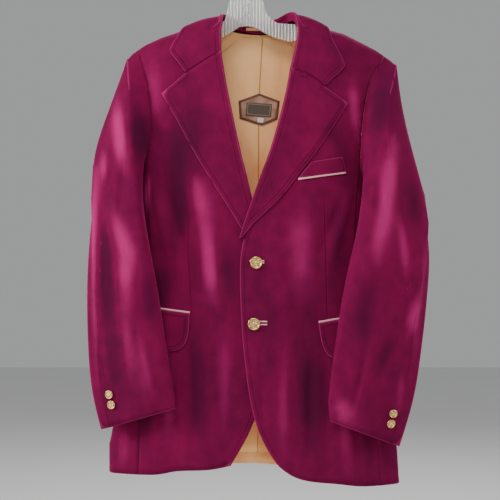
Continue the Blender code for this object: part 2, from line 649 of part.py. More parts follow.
def lining_grid():
    """The lining inside the back, from the neck to its lower edge."""
    grid = []
    for down in np.linspace(0, 1, LINING_ROWS + 1) ** 1.25:
        z = LINING[0][0] + (LINING[-1][0] - LINING[0][0]) * down
        middle = line_at_heights(CENTRE_BACK, [z])[0][0]
        half = np.interp(-z, [-row[0] for row in LINING], [row[1] for row in LINING])
        ease = LINING_EASE_TOP + (LINING_EASE - LINING_EASE_TOP) * smooth_step(-z, 200, 420)
        line = []
        for column in range(LINING_COLUMNS + 1):
            x = middle + half * (2 * column / LINING_COLUMNS - 1)
            section = section_at(z)
            surface = section.back * shoulder_rounding(x, z) * side_rounding(x, z)
            line.append((x, surface - ease - CLOTH - LAID_GAP - LINING_CLOTH, z))
        grid.append(line)
    return grid


def vertex_normals(grid):
    """Unit normals at the points of a grid."""
    points = np.array(grid, float)
    down = np.zeros_like(points)
    across = np.zeros_like(points)
    down[1:-1] = points[2:] - points[:-2]
    down[0] = points[1] - points[0]
    down[-1] = points[-1] - points[-2]
    across[:, 1:-1] = points[:, 2:] - points[:, :-2]
    across[:, 0] = points[:, 1] - points[:, 0]
    across[:, -1] = points[:, -1] - points[:, -2]
    normals = np.cross(across, down)
    return normals / np.maximum(np.linalg.norm(normals, axis=2, keepdims=True), 1e-9)


def border_cells(rows, columns):
    cells = [(row, column) for row in (0, rows - 1) for column in range(columns)]
    cells += [(row, column) for column in (0, columns - 1) for row in range(1, rows - 1)]
    return cells


def place_key(point):
    return tuple(int(round(value * 5)) for value in point)


def way_inside(points, row, column):
    """The direction from a border point to the inside of its grid."""
    rows, columns = points.shape[:2]
    inside_row = min(max(row, 1), rows - 2)
    inside_column = min(max(column, 1), columns - 2)
    way = np.zeros(3)
    for step in (points[inside_row][column] - points[row][column],
                 points[row][inside_column] - points[row][column]):
        length = np.linalg.norm(step)
        if length > 0:
            way += step / length
    return way


def joined_seams(grids, facing):
    """Outward normals, shared along the seams, and the outer points drawn back from each seam.

    Both pieces of a seam grow their walls along the same normal, and each border moves away from
    the piece that it is sewn to, so their edges face each other across a narrow even gap. In a deep
    crease, as under the arm, each wall grows along its own normal, and the edges part inside.
    """
    points = {name: np.array(grid, float) for name, grid in grids.items()}
    own = {name: vertex_normals(grid) * facing[name] for name, grid in grids.items()}
    sums, ways, counts = {}, {}, {}
    for name, grid in points.items():
        for row, column in border_cells(*grid.shape[:2]):
            key = place_key(grid[row][column])
            sums[key] = sums.get(key, np.zeros(3)) + own[name][row][column]
            ways[key] = ways.get(key, np.zeros(3)) + way_inside(grid, row, column)
            counts[key] = counts.get(key, 0) + 1
    normals, moved = {}, {}
    for name, grid in points.items():
        normals[name] = own[name].copy()
        moved[name] = grid.copy()
        for row, column in border_cells(*grid.shape[:2]):
            key = place_key(grid[row][column])
            normal = sums[key] / np.linalg.norm(sums[key])
            way = way_inside(grid, row, column)
            rise = np.dot(way, normal) / np.linalg.norm(way)
            if counts[key] > 1:
                way = way - (ways[key] - way) / (counts[key] - 1)
            way = way - normal * np.dot(way, normal)
            apart = smooth_step(rise, *DEEP_CREASE)
            bent = normal + (own[name][row][column] - normal) * apart
            normals[name][row][column] = bent / np.linalg.norm(bent)
            moved[name][row][column] += way / np.linalg.norm(way) * SEAM_GAP
    return normals, moved


def make_object(name, points, faces, material):
    """A mesh object from points in millimetres."""
    mesh = bpy.data.meshes.new(name)
    mesh.from_pydata([tuple(float(value) * METRE for value in point) for point in points], [], faces)
    mesh.materials.append(material)
    mesh.validate()
    item = bpy.data.objects.new(name, mesh)
    bpy.context.scene.collection.objects.link(item)
    return item


def cell_triangles(points, normals):
    """Two triangles for each cell of a grid, split along the diagonal that stands further out."""
    rows, columns = points.shape[:2]
    triangles = []
    for row in range(rows - 1):
        for column in range(columns - 1):
            first, second = row * columns + column, row * columns + column + 1
            fourth, third = first + columns, second + columns
            rise = (points[row][column] + points[row + 1][column + 1]
                    - points[row][column + 1] - points[row + 1][column])
            if np.dot(rise, normals[row][column]) >= 0:
                triangles += [(first, second, third), (first, third, fourth)]
            else:
                triangles += [(first, second, fourth), (second, third, fourth)]
    return triangles


def wall_faces(points, normals, flipped):
    """The faces of a closed wall: outer grid, inner grid and the edge all round."""
    rows, columns = points.shape[:2]
    count = rows * columns
    flat = points.reshape(-1, 3)
    faces = []
    for triangle in cell_triangles(points, normals):
        faces += [triangle, tuple(index + count for index in reversed(triangle))]
    border = [(0, column) for column in range(columns)]
    border += [(row, columns - 1) for row in range(1, rows)]
    border += [(rows - 1, column) for column in range(columns - 2, -1, -1)]
    border += [(row, 0) for row in range(rows - 2, 0, -1)]
    indices = [row * columns + column for row, column in border]
    for here, there in zip(indices, indices[1:] + indices[:1]):
        step = flat[there] - flat[here]
        if step[np.argmax(abs(step))] > 0:
            faces += [(there, here, here + count), (there, here + count, there + count)]
        else:
            faces += [(there, here, there + count), (here, here + count, there + count)]
    if flipped:
        faces = [tuple(reversed(face)) for face in faces]
    return faces


def crossing_points(points, faces):
    """The points of the faces that cut through other faces of the same wall."""
    tree = BVHTree.FromPolygons([tuple(point) for point in points], faces)
    crossing = set()
    for first, second in tree.overlap(tree):
        if first < second and not set(faces[first]) & set(faces[second]):
            crossing.update(faces[first] + faces[second])
    return crossing


def wall(name, grid, normals, thickness, material, flipped):
    """A closed cloth wall whose outer face is the grid, thinner where a tight fold leaves less room."""
    outer = np.array(grid, float)
    faces = wall_faces(outer, normals, flipped)
    count = outer.shape[0] * outer.shape[1]
    depth = np.full(count, float(thickness))
    for _ in range(THINNING_STEPS):
        inner = outer.reshape(-1, 3) - normals.reshape(-1, 3) * depth[:, None]
        points = np.concatenate([outer.reshape(-1, 3), inner])
        crossing = crossing_points(points, faces)
        if not crossing:
            break
        for index in crossing:
            depth[index % count] *= THINNING
    item = make_object(name, points, faces, material)
    item.data.shade_smooth()
    return item


def grid_tree(grid, facing):
    """A search tree of a grid's outer face, to lay other pieces on it."""
    points = np.array(grid, float)
    triangles = cell_triangles(points, vertex_normals(grid) * facing)
    return BVHTree.FromPolygons([tuple(point) for point in points.reshape(-1, 3)], triangles)


def hit_from_front(tree, x, z):
    """The first point of a surface that the viewer sees at (x, z), and its normal to the viewer."""
    place, normal, _, _ = tree.ray_cast(Vector((x, -400, z)), Vector((0, 1, 0)))
    if normal.y > 0:
        normal = -normal
    return np.array(place), np.array(normal)


def laid_plate(name, outline, tree, gap, thickness, material):
    """A flat piece with the given outline, laid on a surface and bent with it."""
    centre = np.mean(np.array(outline, float), axis=0)
    ring = []
    for here, there in zip(outline, outline[1:] + outline[:1]):
        ring += [np.array(here, float), (np.array(here, float) + np.array(there, float)) / 2]
    flat = [centre] + [centre + (point - centre) * 0.5 for point in ring] + ring
    back = [hit_from_front(tree, *point)[0] - np.array([0, gap, 0]) for point in flat]
    front = [point - np.array([0, thickness, 0]) for point in back]
    count, round_count = len(flat), len(ring)
    faces = []
    for step in range(round_count):
        after = (step + 1) % round_count
        near, next_near = 1 + step, 1 + after
        far, next_far = near + round_count, next_near + round_count
        for face in ([0, near, next_near], [near, far, next_far, next_near]):
            faces += [face, [index + count for index in reversed(face)]]
        faces.append([far, far + count, next_far + count, next_far])
    points = back + front
    item = make_object(name, points, faces, material)
    return outward(item)


def outward(item):
    """Turns a closed mesh right side out if its volume comes out negative."""
    volume = 0.0
    for face in item.data.polygons:
        corners = [item.data.vertices[index].co for index in face.vertices]
        for here, there in zip(corners[1:-1], corners[2:]):
            volume += corners[0].dot(here.cross(there))
    if volume < 0:
        item.data.flip_normals()
    return item


def rotated_rectangle(centre, size, tilt):
    """The corners of a turned rectangle."""
    turn = math.radians(tilt)
    corners = []
    for x, z in ((-0.5, -0.5), (0.5, -0.5), (0.5, 0.5), (-0.5, 0.5)):
        wide, high = x * size[0], z * size[1]
        corners.append((centre[0] + wide * math.cos(turn) - high * math.sin(turn),
                        centre[1] + wide * math.sin(turn) + high * math.cos(turn)))
    return corners


def nearest_outward(tree, place):
    """The nearest point of the body's surface, and the level direction away from the body."""
    nearest, normal, _, _ = tree.find_nearest(Vector(place))
    away = Vector(place) - Vector((0, 0, place[2]))
    if normal.dot(away) < 0:
        normal = -normal
    return np.array(nearest), np.array(normal)


def flap_grid(side, tree):
    """A pocket flap that runs from its front end round onto the side panel."""
    flap = FLAPS[side]
    turns = np.linspace(turn_of(flap.start_x, flap.top_z, False), math.pi * 0.75, 60)
    path = np.array([body_point(side, turn, flap.top_z - FLAP_DROP / 2) for turn in turns])
    along = np.concatenate([[0], np.cumsum(np.linalg.norm(np.diff(path, axis=0), axis=1))])
    grid = []
    for row in range(FLAP_ROWS + 1):
        line = []
        for step in FLAP_STEPS:
            corner = 1 - min(step / FLAP_CORNER, 1)
            drop = FLAP_FRONT + (FLAP_DROP - FLAP_FRONT) * math.sqrt(1 - corner * corner)
            z = flap.top_z + flap.slope * step - drop * row / FLAP_ROWS
            turn = np.interp(step, along, turns)
            nearest, normal = nearest_outward(tree, body_point(side, turn, z))
            line.append(tuple(nearest + normal * (FLAP_THICK + FLAP_GAP)))
        grid.append(line)
    return grid


def strip_grid(line, high):
    """A narrow grid that hangs from a line of points."""
    upper = [tuple(point) for point in line]
    lower = [(point[0], point[1], point[2] - high) for point in line]
    middle = [(point[0], point[1], point[2] - high / 2) for point in line]
    return [upper, middle, lower]


def make_button(button, place, normal, material):
    """A turned metal button: a raised rim round a shallow bowl, with a boss in the middle."""
    radius, height = button.radius, button.height
    profile = [(0.0, 0.72), (0.34, 0.66), (0.46, 0.52), (0.74, 0.58), (0.82, 0.92), (0.92, 1.0),
               (1.0, 0.82), (1.0, 0.5), (0.78, 0.16), (0.4, 0.0)]
    axis = Vector(normal).normalized()
    across = axis.cross(Vector((0, 0, 1))).normalized()
    up = across.cross(axis)
    points = [Vector(place) + axis * profile[0][1] * height]
    for share, level in profile[1:]:
        for step in range(BUTTON_SIDES):
            turn = 2 * math.pi * step / BUTTON_SIDES
            level_place = Vector(place) + axis * level * height
            points.append(level_place + (across * math.cos(turn) + up * math.sin(turn)) * share * radius)
    faces = []
    for step in range(BUTTON_SIDES):
        after = (step + 1) % BUTTON_SIDES
        faces.append([0, 1 + step, 1 + after])
        for ring in range(len(profile) - 2):
            start = 1 + ring * BUTTON_SIDES
            faces.append([start + step, start + BUTTON_SIDES + step, start + BUTTON_SIDES + after, start + after])
    faces.append([1 + (len(profile) - 2) * BUTTON_SIDES + step for step in reversed(range(BUTTON_SIDES))])
    item = outward(make_object(button.name, points, faces, material))
    item.data.shade_smooth()
    item.data.set_sharp_from_angle(angle=math.radians(40))
    return item


def make_hanger(material):
    """The moulded hanger: a neck and two arms that lie just under the shoulder seams."""
    xs = [point[0] for point in SHOULDER]
    zs = [point[1] for point in SHOULDER]

    def under_cloth(x):
        return min(np.interp(x, xs, zs) - HANGER_UNDER_CLOTH, HANGER_UNDER_NECK)

    right = [(x, under_cloth(x)) for x in HANGER_ARM_RIGHT]
    left = [(x, under_cloth(x)) for x in HANGER_ARM_LEFT]
    right_low = [(x, z - HANGER_ARM_HIGH) for x, z in right[1:-1]]
    left_low = [(x, z - HANGER_ARM_HIGH) for x, z in left[1:-1]]
    right_tip = (right[-1][0], right[-1][1] - HANGER_TIP_HIGH)
    left_tip = (left[-1][0], left[-1][1] - HANGER_TIP_HIGH)
    outline = (HANGER_NECK + left + [left_tip] + left_low[::-1] + HANGER_ARCH + right_low + [right_tip]
               + right[::-1])
    count = len(outline)
    half = HANGER_DEEP / 2
    points = [(x, -half, z) for x, z in outline] + [(x, half, z) for x, z in outline]
    faces = [list(range(count)), [index + count for index in reversed(range(count))]]
    for here in range(count):
        there = (here + 1) % count
        faces.append([there, here, here + count, there + count])
    return outward(make_object("hanger", points, faces, material))


def make_hook(material):
    """The steel wire hook: a stem, a bend and a round hook that is open on one side."""
    middle = HOOK_INSIDE + WIRE / 2
    foot = max(z for x, z in HANGER_NECK) + 0.3
    path = [(0.0, foot), (0.0, foot + 6)]
    for step in range(HOOK_STEPS + 1):
        angle = math.radians(-78 + (HOOK_END_ANGLE + 78) * step / HOOK_STEPS)
        path.append((middle * math.cos(angle), -HOOK_INSIDE + middle * math.sin(angle)))
    line = smooth_line(path, np.linspace(0, 1, 40))
    curve = bpy.data.curves.new("hanger_hook", "CURVE")
    curve.dimensions = "3D"
    curve.bevel_depth = WIRE / 2 * METRE
    curve.bevel_resolution = 2
    curve.use_fill_caps = True
    spline = curve.splines.new("POLY")
    spline.points.add(len(line) - 1)
    for point, (x, z) in zip(spline.points, line):
        point.co = (x * METRE, 0, z * METRE, 1)
    curve.materials.append(material)
    item = bpy.data.objects.new("hanger_hook", curve)
    bpy.context.scene.collection.objects.link(item)
    return item


def paint(name, red, green, blue, roughness, metallic=0.0):
    """A material from the colour as the eye sees it, 0 to 255."""
    material = bpy.data.materials.new(name)
    material.use_nodes = True
    shader = material.node_tree.nodes["Principled BSDF"]
    linear = [((value / 255 + 0.055) / 1.055) ** 2.4 for value in (red, green, blue)]
    shader.inputs["Base Color"].default_value = (*linear, 1)
    shader.inputs["Roughness"].default_value = roughness
    shader.inputs["Metallic"].default_value = metallic
    material.diffuse_color = (*linear, 1)
    return material


def build():
    for item in list(bpy.data.objects):
        bpy.data.objects.remove(item)
    velvet = paint("velvet", 122, 17, 64, 0.85)
    satin = paint("lining_satin", 220, 172, 120, 0.45)
    piping = paint("piping_satin", 233, 160, 170, 0.45)
    leather = paint("leather", 181, 138, 120, 0.6)
    woven = paint("woven_label", 95, 83, 71, 0.8)
    tape = paint("white_tape", 243, 238, 230, 0.8)
    brass = paint("brass", 216, 176, 106, 0.3, 1.0)
    plastic = paint("clear_plastic", 216, 216, 208, 0.15)
    steel = paint("steel", 170, 172, 175, 0.25, 1.0)

    grids = {}
    facing = {}
    fronts = {}
    sleeves = {}
    body_points = {}
    for seams in (RIGHT_SEAMS, LEFT_SEAMS):
        side, name = seams.sign, seams.name
        front, back, panel = front_grid(seams), back_grid(seams), side_grid(seams)
        top, under = sleeve_grids(side, armhole_ring(front, panel, back))
        grids[name + "_front"], facing[name + "_front"] = front, side
        grids[name + "_back"], facing[name + "_back"] = back, -side
        grids[name + "_side"], facing[name + "_side"] = panel, -side
        grids[name + "_top_sleeve"], facing[name + "_top_sleeve"] = top, side
        grids[name + "_under_sleeve"], facing[name + "_under_sleeve"] = under, side
        fronts[side] = grid_tree(front, side)
        sleeves[side] = grid_tree(top, side)
        joined = [list(reversed(front_row)) + list(side_row)[1:]
                  for front_row, side_row in zip(front[len(ARMHOLE_SHARES) - 1:], panel)]
        body_points[side] = grid_tree(joined, -side)
    normals, drawn_back = joined_seams(grids, facing)
    for name, grid in drawn_back.items():
        wall(name, grid, normals[name], CLOTH, velvet, facing[name] < 0)

    for seams in (RIGHT_SEAMS, LEFT_SEAMS):
        grid = lapel_grid(seams)
        sign = seams.sign
        wall(seams.name + "_lapel", grid, vertex_normals(grid) * -sign, CLOTH, velvet, sign > 0)
    collar = collar_grid()
    wall("collar", collar, -vertex_normals(collar), CLOTH, velvet, True)

    lining = lining_grid()
    wall("back_lining", lining, -vertex_normals(lining), LINING_CLOTH, satin, True)
    lining_tree = grid_tree(lining, -1)
    laid_plate("leather_patch", PATCH, lining_tree, PATCH_GAP, PATCH_THICK, leather)
    on_patch = PATCH_GAP + PATCH_THICK + LABEL_GAP
    label = rotated_rectangle(LABEL_CENTRE, LABEL_SIZE, LABEL_TILT)
    laid_plate("woven_label", label, lining_tree, on_patch, LABEL_THICK, woven)
    tab = rotated_rectangle(TAB_CENTRE, TAB_SIZE, LABEL_TILT)
    laid_plate("size_tab", tab, lining_tree, on_patch, TAB_THICK, tape)

    laid_plate("breast_welt", WELT, fronts[LEFT], LAID_GAP, WELT_THICK, velvet)
    (start_x, start_z), (end_x, end_z) = WELT[:2]
    upper, lower = -PIPING_GAP, -PIPING_GAP - PIPING_HIGH
    below_welt = [(start_x, start_z + upper), (end_x, end_z + upper), (end_x, end_z + lower),
                  (start_x, start_z + lower)]
    laid_plate("breast_piping", below_welt, fronts[LEFT], LAID_GAP, PIPING_DEEP, piping)

    for seams in (RIGHT_SEAMS, LEFT_SEAMS):
        side, name = seams.sign, seams.name
        grid = flap_grid(side, body_points[side])
        wall(name + "_pocket_flap", grid, vertex_normals(grid) * -side, FLAP_THICK, velvet, side > 0)
        above = [(x, y, z + PIPING_GAP + PIPING_HIGH) for x, y, z in grid[0]]
        strip = strip_grid(above, PIPING_HIGH)
        wall(name + "_pocket_piping", strip, vertex_normals(strip) * -side, PIPING_DEEP, piping, side > 0)

    for button in FRONT_BUTTONS:
        place, normal = hit_from_front(fronts[LEFT], button.x, button.z)
        make_button(button, place + normal * BUTTON_GAP, normal, brass)
    for side in (RIGHT, LEFT):
        for button in SLEEVE_BUTTONS[side]:
            place, normal = hit_from_front(sleeves[side], button.x, button.z)
            make_button(button, place + normal * SLEEVE_BUTTON_GAP, normal, brass)

    loop = rotated_rectangle((sum(LOOP_ENDS) / 2, LOOP_HEIGHT), (LOOP_ENDS[1] - LOOP_ENDS[0], LOOP_WIDTH), 0)
    laid_plate("hanging_loop", loop, grid_tree(collar, -1), LOOP_GAP, LOOP_THICK, satin)
    make_hanger(plastic)
    make_hook(steel)


build()
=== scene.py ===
import math

import bmesh
import bpy
import numpy as np
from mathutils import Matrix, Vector
from mathutils.bvhtree import BVHTree
from mathutils.kdtree import KDTree


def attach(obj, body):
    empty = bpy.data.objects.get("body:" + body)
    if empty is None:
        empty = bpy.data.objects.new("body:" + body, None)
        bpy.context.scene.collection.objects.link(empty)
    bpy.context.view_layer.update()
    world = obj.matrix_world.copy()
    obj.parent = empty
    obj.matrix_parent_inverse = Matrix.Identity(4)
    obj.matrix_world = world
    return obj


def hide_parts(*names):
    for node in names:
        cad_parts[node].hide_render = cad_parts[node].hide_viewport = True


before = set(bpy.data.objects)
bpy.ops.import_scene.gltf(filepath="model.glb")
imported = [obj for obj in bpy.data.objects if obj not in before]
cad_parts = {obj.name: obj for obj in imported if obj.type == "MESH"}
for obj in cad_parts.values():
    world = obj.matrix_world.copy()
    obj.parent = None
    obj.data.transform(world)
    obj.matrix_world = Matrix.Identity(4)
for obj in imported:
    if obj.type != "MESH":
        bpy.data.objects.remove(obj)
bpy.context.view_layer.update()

# ---------------------------------------------------------------- hanger and hook
# A clear moulded plastic hanger carries the jacket: a ribbed neck with a round eye, two arms
# under the shoulders, and a bright wire hook set in the neck. Both keep their built shapes.


class Value:
    """A shader socket that takes Python's operators, each of which adds a Math node."""

    def __init__(self, finish, socket):
        self.finish = finish
        self.socket = socket

    def work(self, operation, first, second):
        return self.finish.node("Math", {"operation": operation}, {0: first, 1: second})

    def __add__(self, other):
        return self.work("ADD", self, other)

    def __radd__(self, other):
        return self.work("ADD", other, self)

    def __sub__(self, other):
        return self.work("SUBTRACT", self, other)

    def __rsub__(self, other):
        return self.work("SUBTRACT", other, self)

    def __mul__(self, other):
        return self.work("MULTIPLY", self, other)

    def __rmul__(self, other):
        return self.work("MULTIPLY", other, self)

    def __abs__(self):
        return self.work("ABSOLUTE", self, 0.0)


class Finish:
    """One material: its nodes, ending in a Principled shader whose plain sockets are set by name."""

    def __init__(self, name, **sockets):
        self.material = bpy.data.materials.new(name)
        self.material.use_nodes = True
        self.tree = self.material.node_tree
        self.shader = self.tree.nodes["Principled BSDF"]
        for socket, value in sockets.items():
            self.feed(self.shader.inputs[socket.replace("_", " ")], value)

    def node(self, kind, settings, values, output=0):
        made = self.tree.nodes.new("ShaderNode" + kind)
        for name, value in settings.items():
            setattr(made, name, value)
        for name, value in values.items():
            self.feed(made.inputs[name], value)
        return Value(self, made.outputs[output])

    def feed(self, socket, value):
        if isinstance(value, Value):
            self.tree.links.new(value.socket, socket)
        else:
            socket.default_value = value

    def place(self, stretch=(1, 1, 1)):
        object_place = self.node("TexCoord", {}, {}, "Object")
        return self.node("Mapping", {}, {"Vector": object_place, "Scale": stretch})

    def noise(self, scale, detail=3.0, stretch=(1, 1, 1)):
        return self.node("TexNoise", {}, {"Vector": self.place(stretch), "Scale": scale, "Detail": detail})

    def attribute(self, name):
        return self.node("Attribute", {"attribute_name": name}, {}, "Fac")

    def between(self, value, low, high):
        """0 below low and 1 above high, with a soft step; low may be the larger one."""
        return self.node("MapRange", {"interpolation_type": "SMOOTHSTEP"},
                         {"Value": value, "From Min": low, "From Max": high})

    def blend(self, first, second, amount):
        return self.node("Mix", {"data_type": "RGBA"}, {0: amount, 6: first, 7: second}, 2)

    def bump(self, height, distance, strength=1.0, under=None):
        values = {"Height": height, "Distance": distance, "Strength": strength}
        if under is not None:
            values["Normal"] = under
        return self.node("Bump", {}, values)

    def set(self, socket, value):
        self.feed(self.shader.inputs[socket], value)


def dress(node, finish):
    """A built node keeps its shape and gets a finish."""
    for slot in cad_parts[node].material_slots:
        slot.material = finish.material


clear_plastic = Finish("clear_plastic", Roughness=0.16, IOR=1.49, Transmission_Weight=0.6)
cloudy = clear_plastic.noise(40.0)
clear_plastic.set("Base Color", clear_plastic.blend((0.72, 0.72, 0.68, 1), (0.9, 0.9, 0.87, 1), cloudy))
moulded_ribs = clear_plastic.node("TexWave", {"bands_direction": "X"},
                                  {"Vector": clear_plastic.place(), "Scale": 55.0, "Distortion": 0.6,
                                   "Detail": 0.0})
clear_plastic.set("Normal", clear_plastic.bump(moulded_ribs, 0.0012))
dress("hanger", clear_plastic)

steel = Finish("steel", Metallic=1.0, IOR=2.5)
drawn = steel.noise(300.0, 2.0, (1, 1, 0.1))
steel.set("Base Color", steel.blend((0.40, 0.41, 0.43, 1), (0.62, 0.63, 0.65, 1), drawn))
steel.set("Roughness", drawn * 0.15 + 0.14)
dress("hanger_hook", steel)

HANGER_FACE = -0.0040             # the front of the hanger's neck, in y
EYE = (0.0004, -0.103)            # the middle of the round eye, in x and z
EYE_RADIUS, EYE_RIM = 0.0078, 0.0011
EYE_PROUD = 0.0004
FAN = (-0.0005, -0.1245)          # where the neck's ribs fan out from
RIB_NEAR, RIB_FAR = 0.0045, 0.0125
RIB_WIDTH, RIB_DEPTH, RIB_PROUD = 0.0013, 0.0016, 0.0003
RIB_ANGLES = (-64, -40, -18, 0, 18, 40, 64)


def clear_selection():
    for item in bpy.context.selected_objects:
        item.select_set(False)


def modified(item, kind, **settings):
    """Adds a modifier to the active object, sets it, and applies it."""
    bpy.ops.object.modifier_add(type=kind)
    modifier = item.modifiers[-1]
    for setting, value in settings.items():
        setattr(modifier, setting, value)
    bpy.ops.object.modifier_apply(modifier=modifier.name)


def bevelled(name, width, segments=2):
    """The primitive just added gets its name and rounded edges, and its place goes into its mesh."""
    item = bpy.context.object
    item.name = name
    bpy.ops.object.transform_apply(location=True, rotation=True, scale=True)
    modified(item, "BEVEL", width=width, segments=segments)
    bpy.ops.object.shade_smooth_by_angle(angle=math.radians(40))
    return item


clear_selection()
bpy.ops.mesh.primitive_torus_add(major_radius=EYE_RADIUS, minor_radius=EYE_RIM, major_segments=48,
                                 minor_segments=10, location=(EYE[0], HANGER_FACE - EYE_PROUD, EYE[1]),
                                 rotation=(math.radians(90), 0, 0))
hanger_ribs = [bevelled("hanger_eye", 0.0001, 1)]
for number, angle in enumerate(RIB_ANGLES):
    turn = math.radians(angle)
    middle = (RIB_NEAR + RIB_FAR) / 2
    clear_selection()
    bpy.ops.mesh.primitive_cube_add(size=1, rotation=(0, turn, 0),
                                    location=(FAN[0] + middle * math.sin(turn), HANGER_FACE - RIB_PROUD,
                                              FAN[1] + middle * math.cos(turn)),
                                    scale=(RIB_WIDTH, RIB_DEPTH, RIB_FAR - RIB_NEAR))
    hanger_ribs.append(bevelled(f"hanger_rib_{number + 1}", 0.0005))
for rib in hanger_ribs:
    rib.data.materials.append(clear_plastic.material)
    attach(rib, "root")

# ---------------------------------------------------------------- body panels in velvet
# Two backs, two side panels and two fronts, cut in burgundy cotton velvet, lined in satin and
# pressed open at the seams. Each hangs in soft folds, with a painted highlight on its edges and painted
# bands of light and shade.

RIM_ANGLE = math.radians(50)      # a sharper edge than this is a wall's cut edge
CORNER_TURN = math.radians(32)    # a cut edge that turns more than this keeps its corner
QUAD_BEND, QUAD_SKEW = math.radians(42), math.radians(75)
WELD = 2e-5
RIM_STEP = 0.004
SEAM_REACH = 0.0028               # cut edges of two pieces this close are one seam
SKIN_SHARE = 0.2                  # the least share of a wall's surface that is one of its skins
SKIN_LEAN, FOLD_LEAN = 3, 4       # how much more depth counts than width in the way outwards

TORSO = [(-0.09, 0.029, -0.004), (-0.40, 0.010, -0.004), (-0.65, 0.010, -0.005), (-0.96, 0.015, -0.002)]


def along(line, height):
    """The middle (x, y) of the body or a sleeve at a height, from a list of (height, x, y)."""
    levels = [-row[0] for row in line]
    return (float(np.interp(-height, levels, [row[1] for row in line])),
            float(np.interp(-height, levels, [row[2] for row in line])))


def welded(node):
    """A copy of a built node's mesh with its loose triangles joined up."""
    mesh = bmesh.new()
    mesh.from_mesh(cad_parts[node].data)
    bmesh.ops.remove_doubles(mesh, verts=mesh.verts, dist=WELD)
    return mesh


def rim_edges(mesh):
    """The edges where a wall's skins turn into its cut edge."""
    return [edge for edge in mesh.edges if edge.calc_face_angle(0) > RIM_ANGLE]


VELVET_NODES = [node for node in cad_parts
                if node.endswith(("_front", "_back", "_side", "_sleeve", "_lapel")) or node == "collar"]
rims = {}
for node in VELVET_NODES:
    rim_mesh = welded(node)
    rims[node] = []
    for edge in rim_edges(rim_mesh):
        steps = max(1, int(edge.calc_length() / RIM_STEP))
        rims[node].extend(edge.verts[0].co.lerp(edge.verts[1].co, step / steps) for step in range(steps + 1))
    rim_mesh.free()


def search_tree(points):
    tree = KDTree(len(points))
    for number, point in enumerate(points):
        tree.insert(point, number)
    tree.balance()
    return tree


def neighbours(node):
    """A search tree of the cut edges of every other velvet piece."""
    return search_tree([point for other, points in rims.items() if other != node for point in points])


def keep_edges(mesh, beside):
    """Creases the cut edges, and pins their corners and the points that lie in a seam."""
    crease = mesh.edges.layers.float.new("crease_edge")
    corner = mesh.verts.layers.float.new("crease_vert")
    rim_ends = {}
    for edge in rim_edges(mesh):
        edge[crease] = 1.0
        for vert in edge.verts:
            rim_ends.setdefault(vert, []).append(edge.other_vert(vert))
    for vert, others in rim_ends.items():
        if len(others) != 2 or beside.find(vert.co)[2] < SEAM_REACH:
            vert[corner] = 1.0
            continue
        first, second = ((other.co - vert.co).normalized() for other in others)
        if first.dot(second) > -math.cos(CORNER_TURN):
            vert[corner] = 1.0


def wall_skins(mesh):
    """Groups a wall's faces into its skins, which only cut edges part."""
    group = {}
    for first in mesh.faces:
        if first in group:
            continue
        number = len(group)
        group[first] = number
        ways = [first]
        while ways:
            face = ways.pop()
            for edge in face.edges:
                if edge.calc_face_angle(0) > RIM_ANGLE:
                    continue
                for other in edge.link_faces:
                    if other not in group:
                        group[other] = number
                        ways.append(other)
    return group


def line_inside(mesh, middle):
    """Gives the second finish to the skin that faces the middle line of the body or sleeve."""
    skins = wall_skins(mesh)
    turned, size = {}, {}
    for face, number in skins.items():
        centre = face.calc_center_median()
        x, y = along(middle, centre.z)
        out = Vector((centre.x - x, (centre.y - y) * SKIN_LEAN, 0))
        turned[number] = turned.get(number, 0) + face.calc_area() * face.normal.dot(out)
        size[number] = size.get(number, 0) + face.calc_area()
    whole = sum(size.values())
    for face, number in skins.items():
        face.material_index = 1 if turned[number] < 0 and size[number] > whole * SKIN_SHARE else 0


def placed_object(name, mesh, *finishes):
    """Turns a finished bmesh into an object with its finishes."""
    data = bpy.data.meshes.new(name)
    mesh.to_mesh(data)
    mesh.free()
    item = bpy.data.objects.new(name, data)
    bpy.context.scene.collection.objects.link(item)
    for finish in finishes:
        data.materials.append(finish.material)
    return item


def soft_wall(name, node, finish, middle=None, inside=None, levels=2):
    """A cloth piece: the built wall, its cut edges kept, smoothed by subdivision.

    inside is the finish of the skin that faces the middle line."""
    mesh = welded(node)
    bmesh.ops.join_triangles(mesh, faces=mesh.faces, angle_face_threshold=QUAD_BEND,
                             angle_shape_threshold=QUAD_SKEW)
    keep_edges(mesh, neighbours(node))
    for face in mesh.faces:
        face.material_index = 0
    if inside is not None:
        line_inside(mesh, middle)
    item = placed_object(name, mesh, finish, *([inside] if inside is not None else []))
    clear_selection()
    item.select_set(True)
    bpy.context.view_layer.objects.active = item
    modified(item, "SUBSURF", levels=levels, render_levels=levels)
    bpy.ops.object.shade_smooth_by_angle(angle=RIM_ANGLE)
    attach(item, "root")
    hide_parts(node)
    return item


def soft_step(value, low, high):
    share = min(1.0, max(0.0, (value - low) / (high - low)))
    return share * share * (3 - 2 * share)


PIXEL = 0.00176                   # metres on the jacket for each of the photo's pixels
MIDDLE_PIXEL, TOP_EDGE = 246, 0.095
FOLD_BOLDNESS = 1.45
FOLD_START, FOLD_FULL = -0.25, 0.3
TURN_DEPTH = 0.012                # how far before or behind the middle a side counts in full


def photo_place(x, y):
    return Vector(((x - MIDDLE_PIXEL) * PIXEL, -(TOP_EDGE + PIXEL * y)))


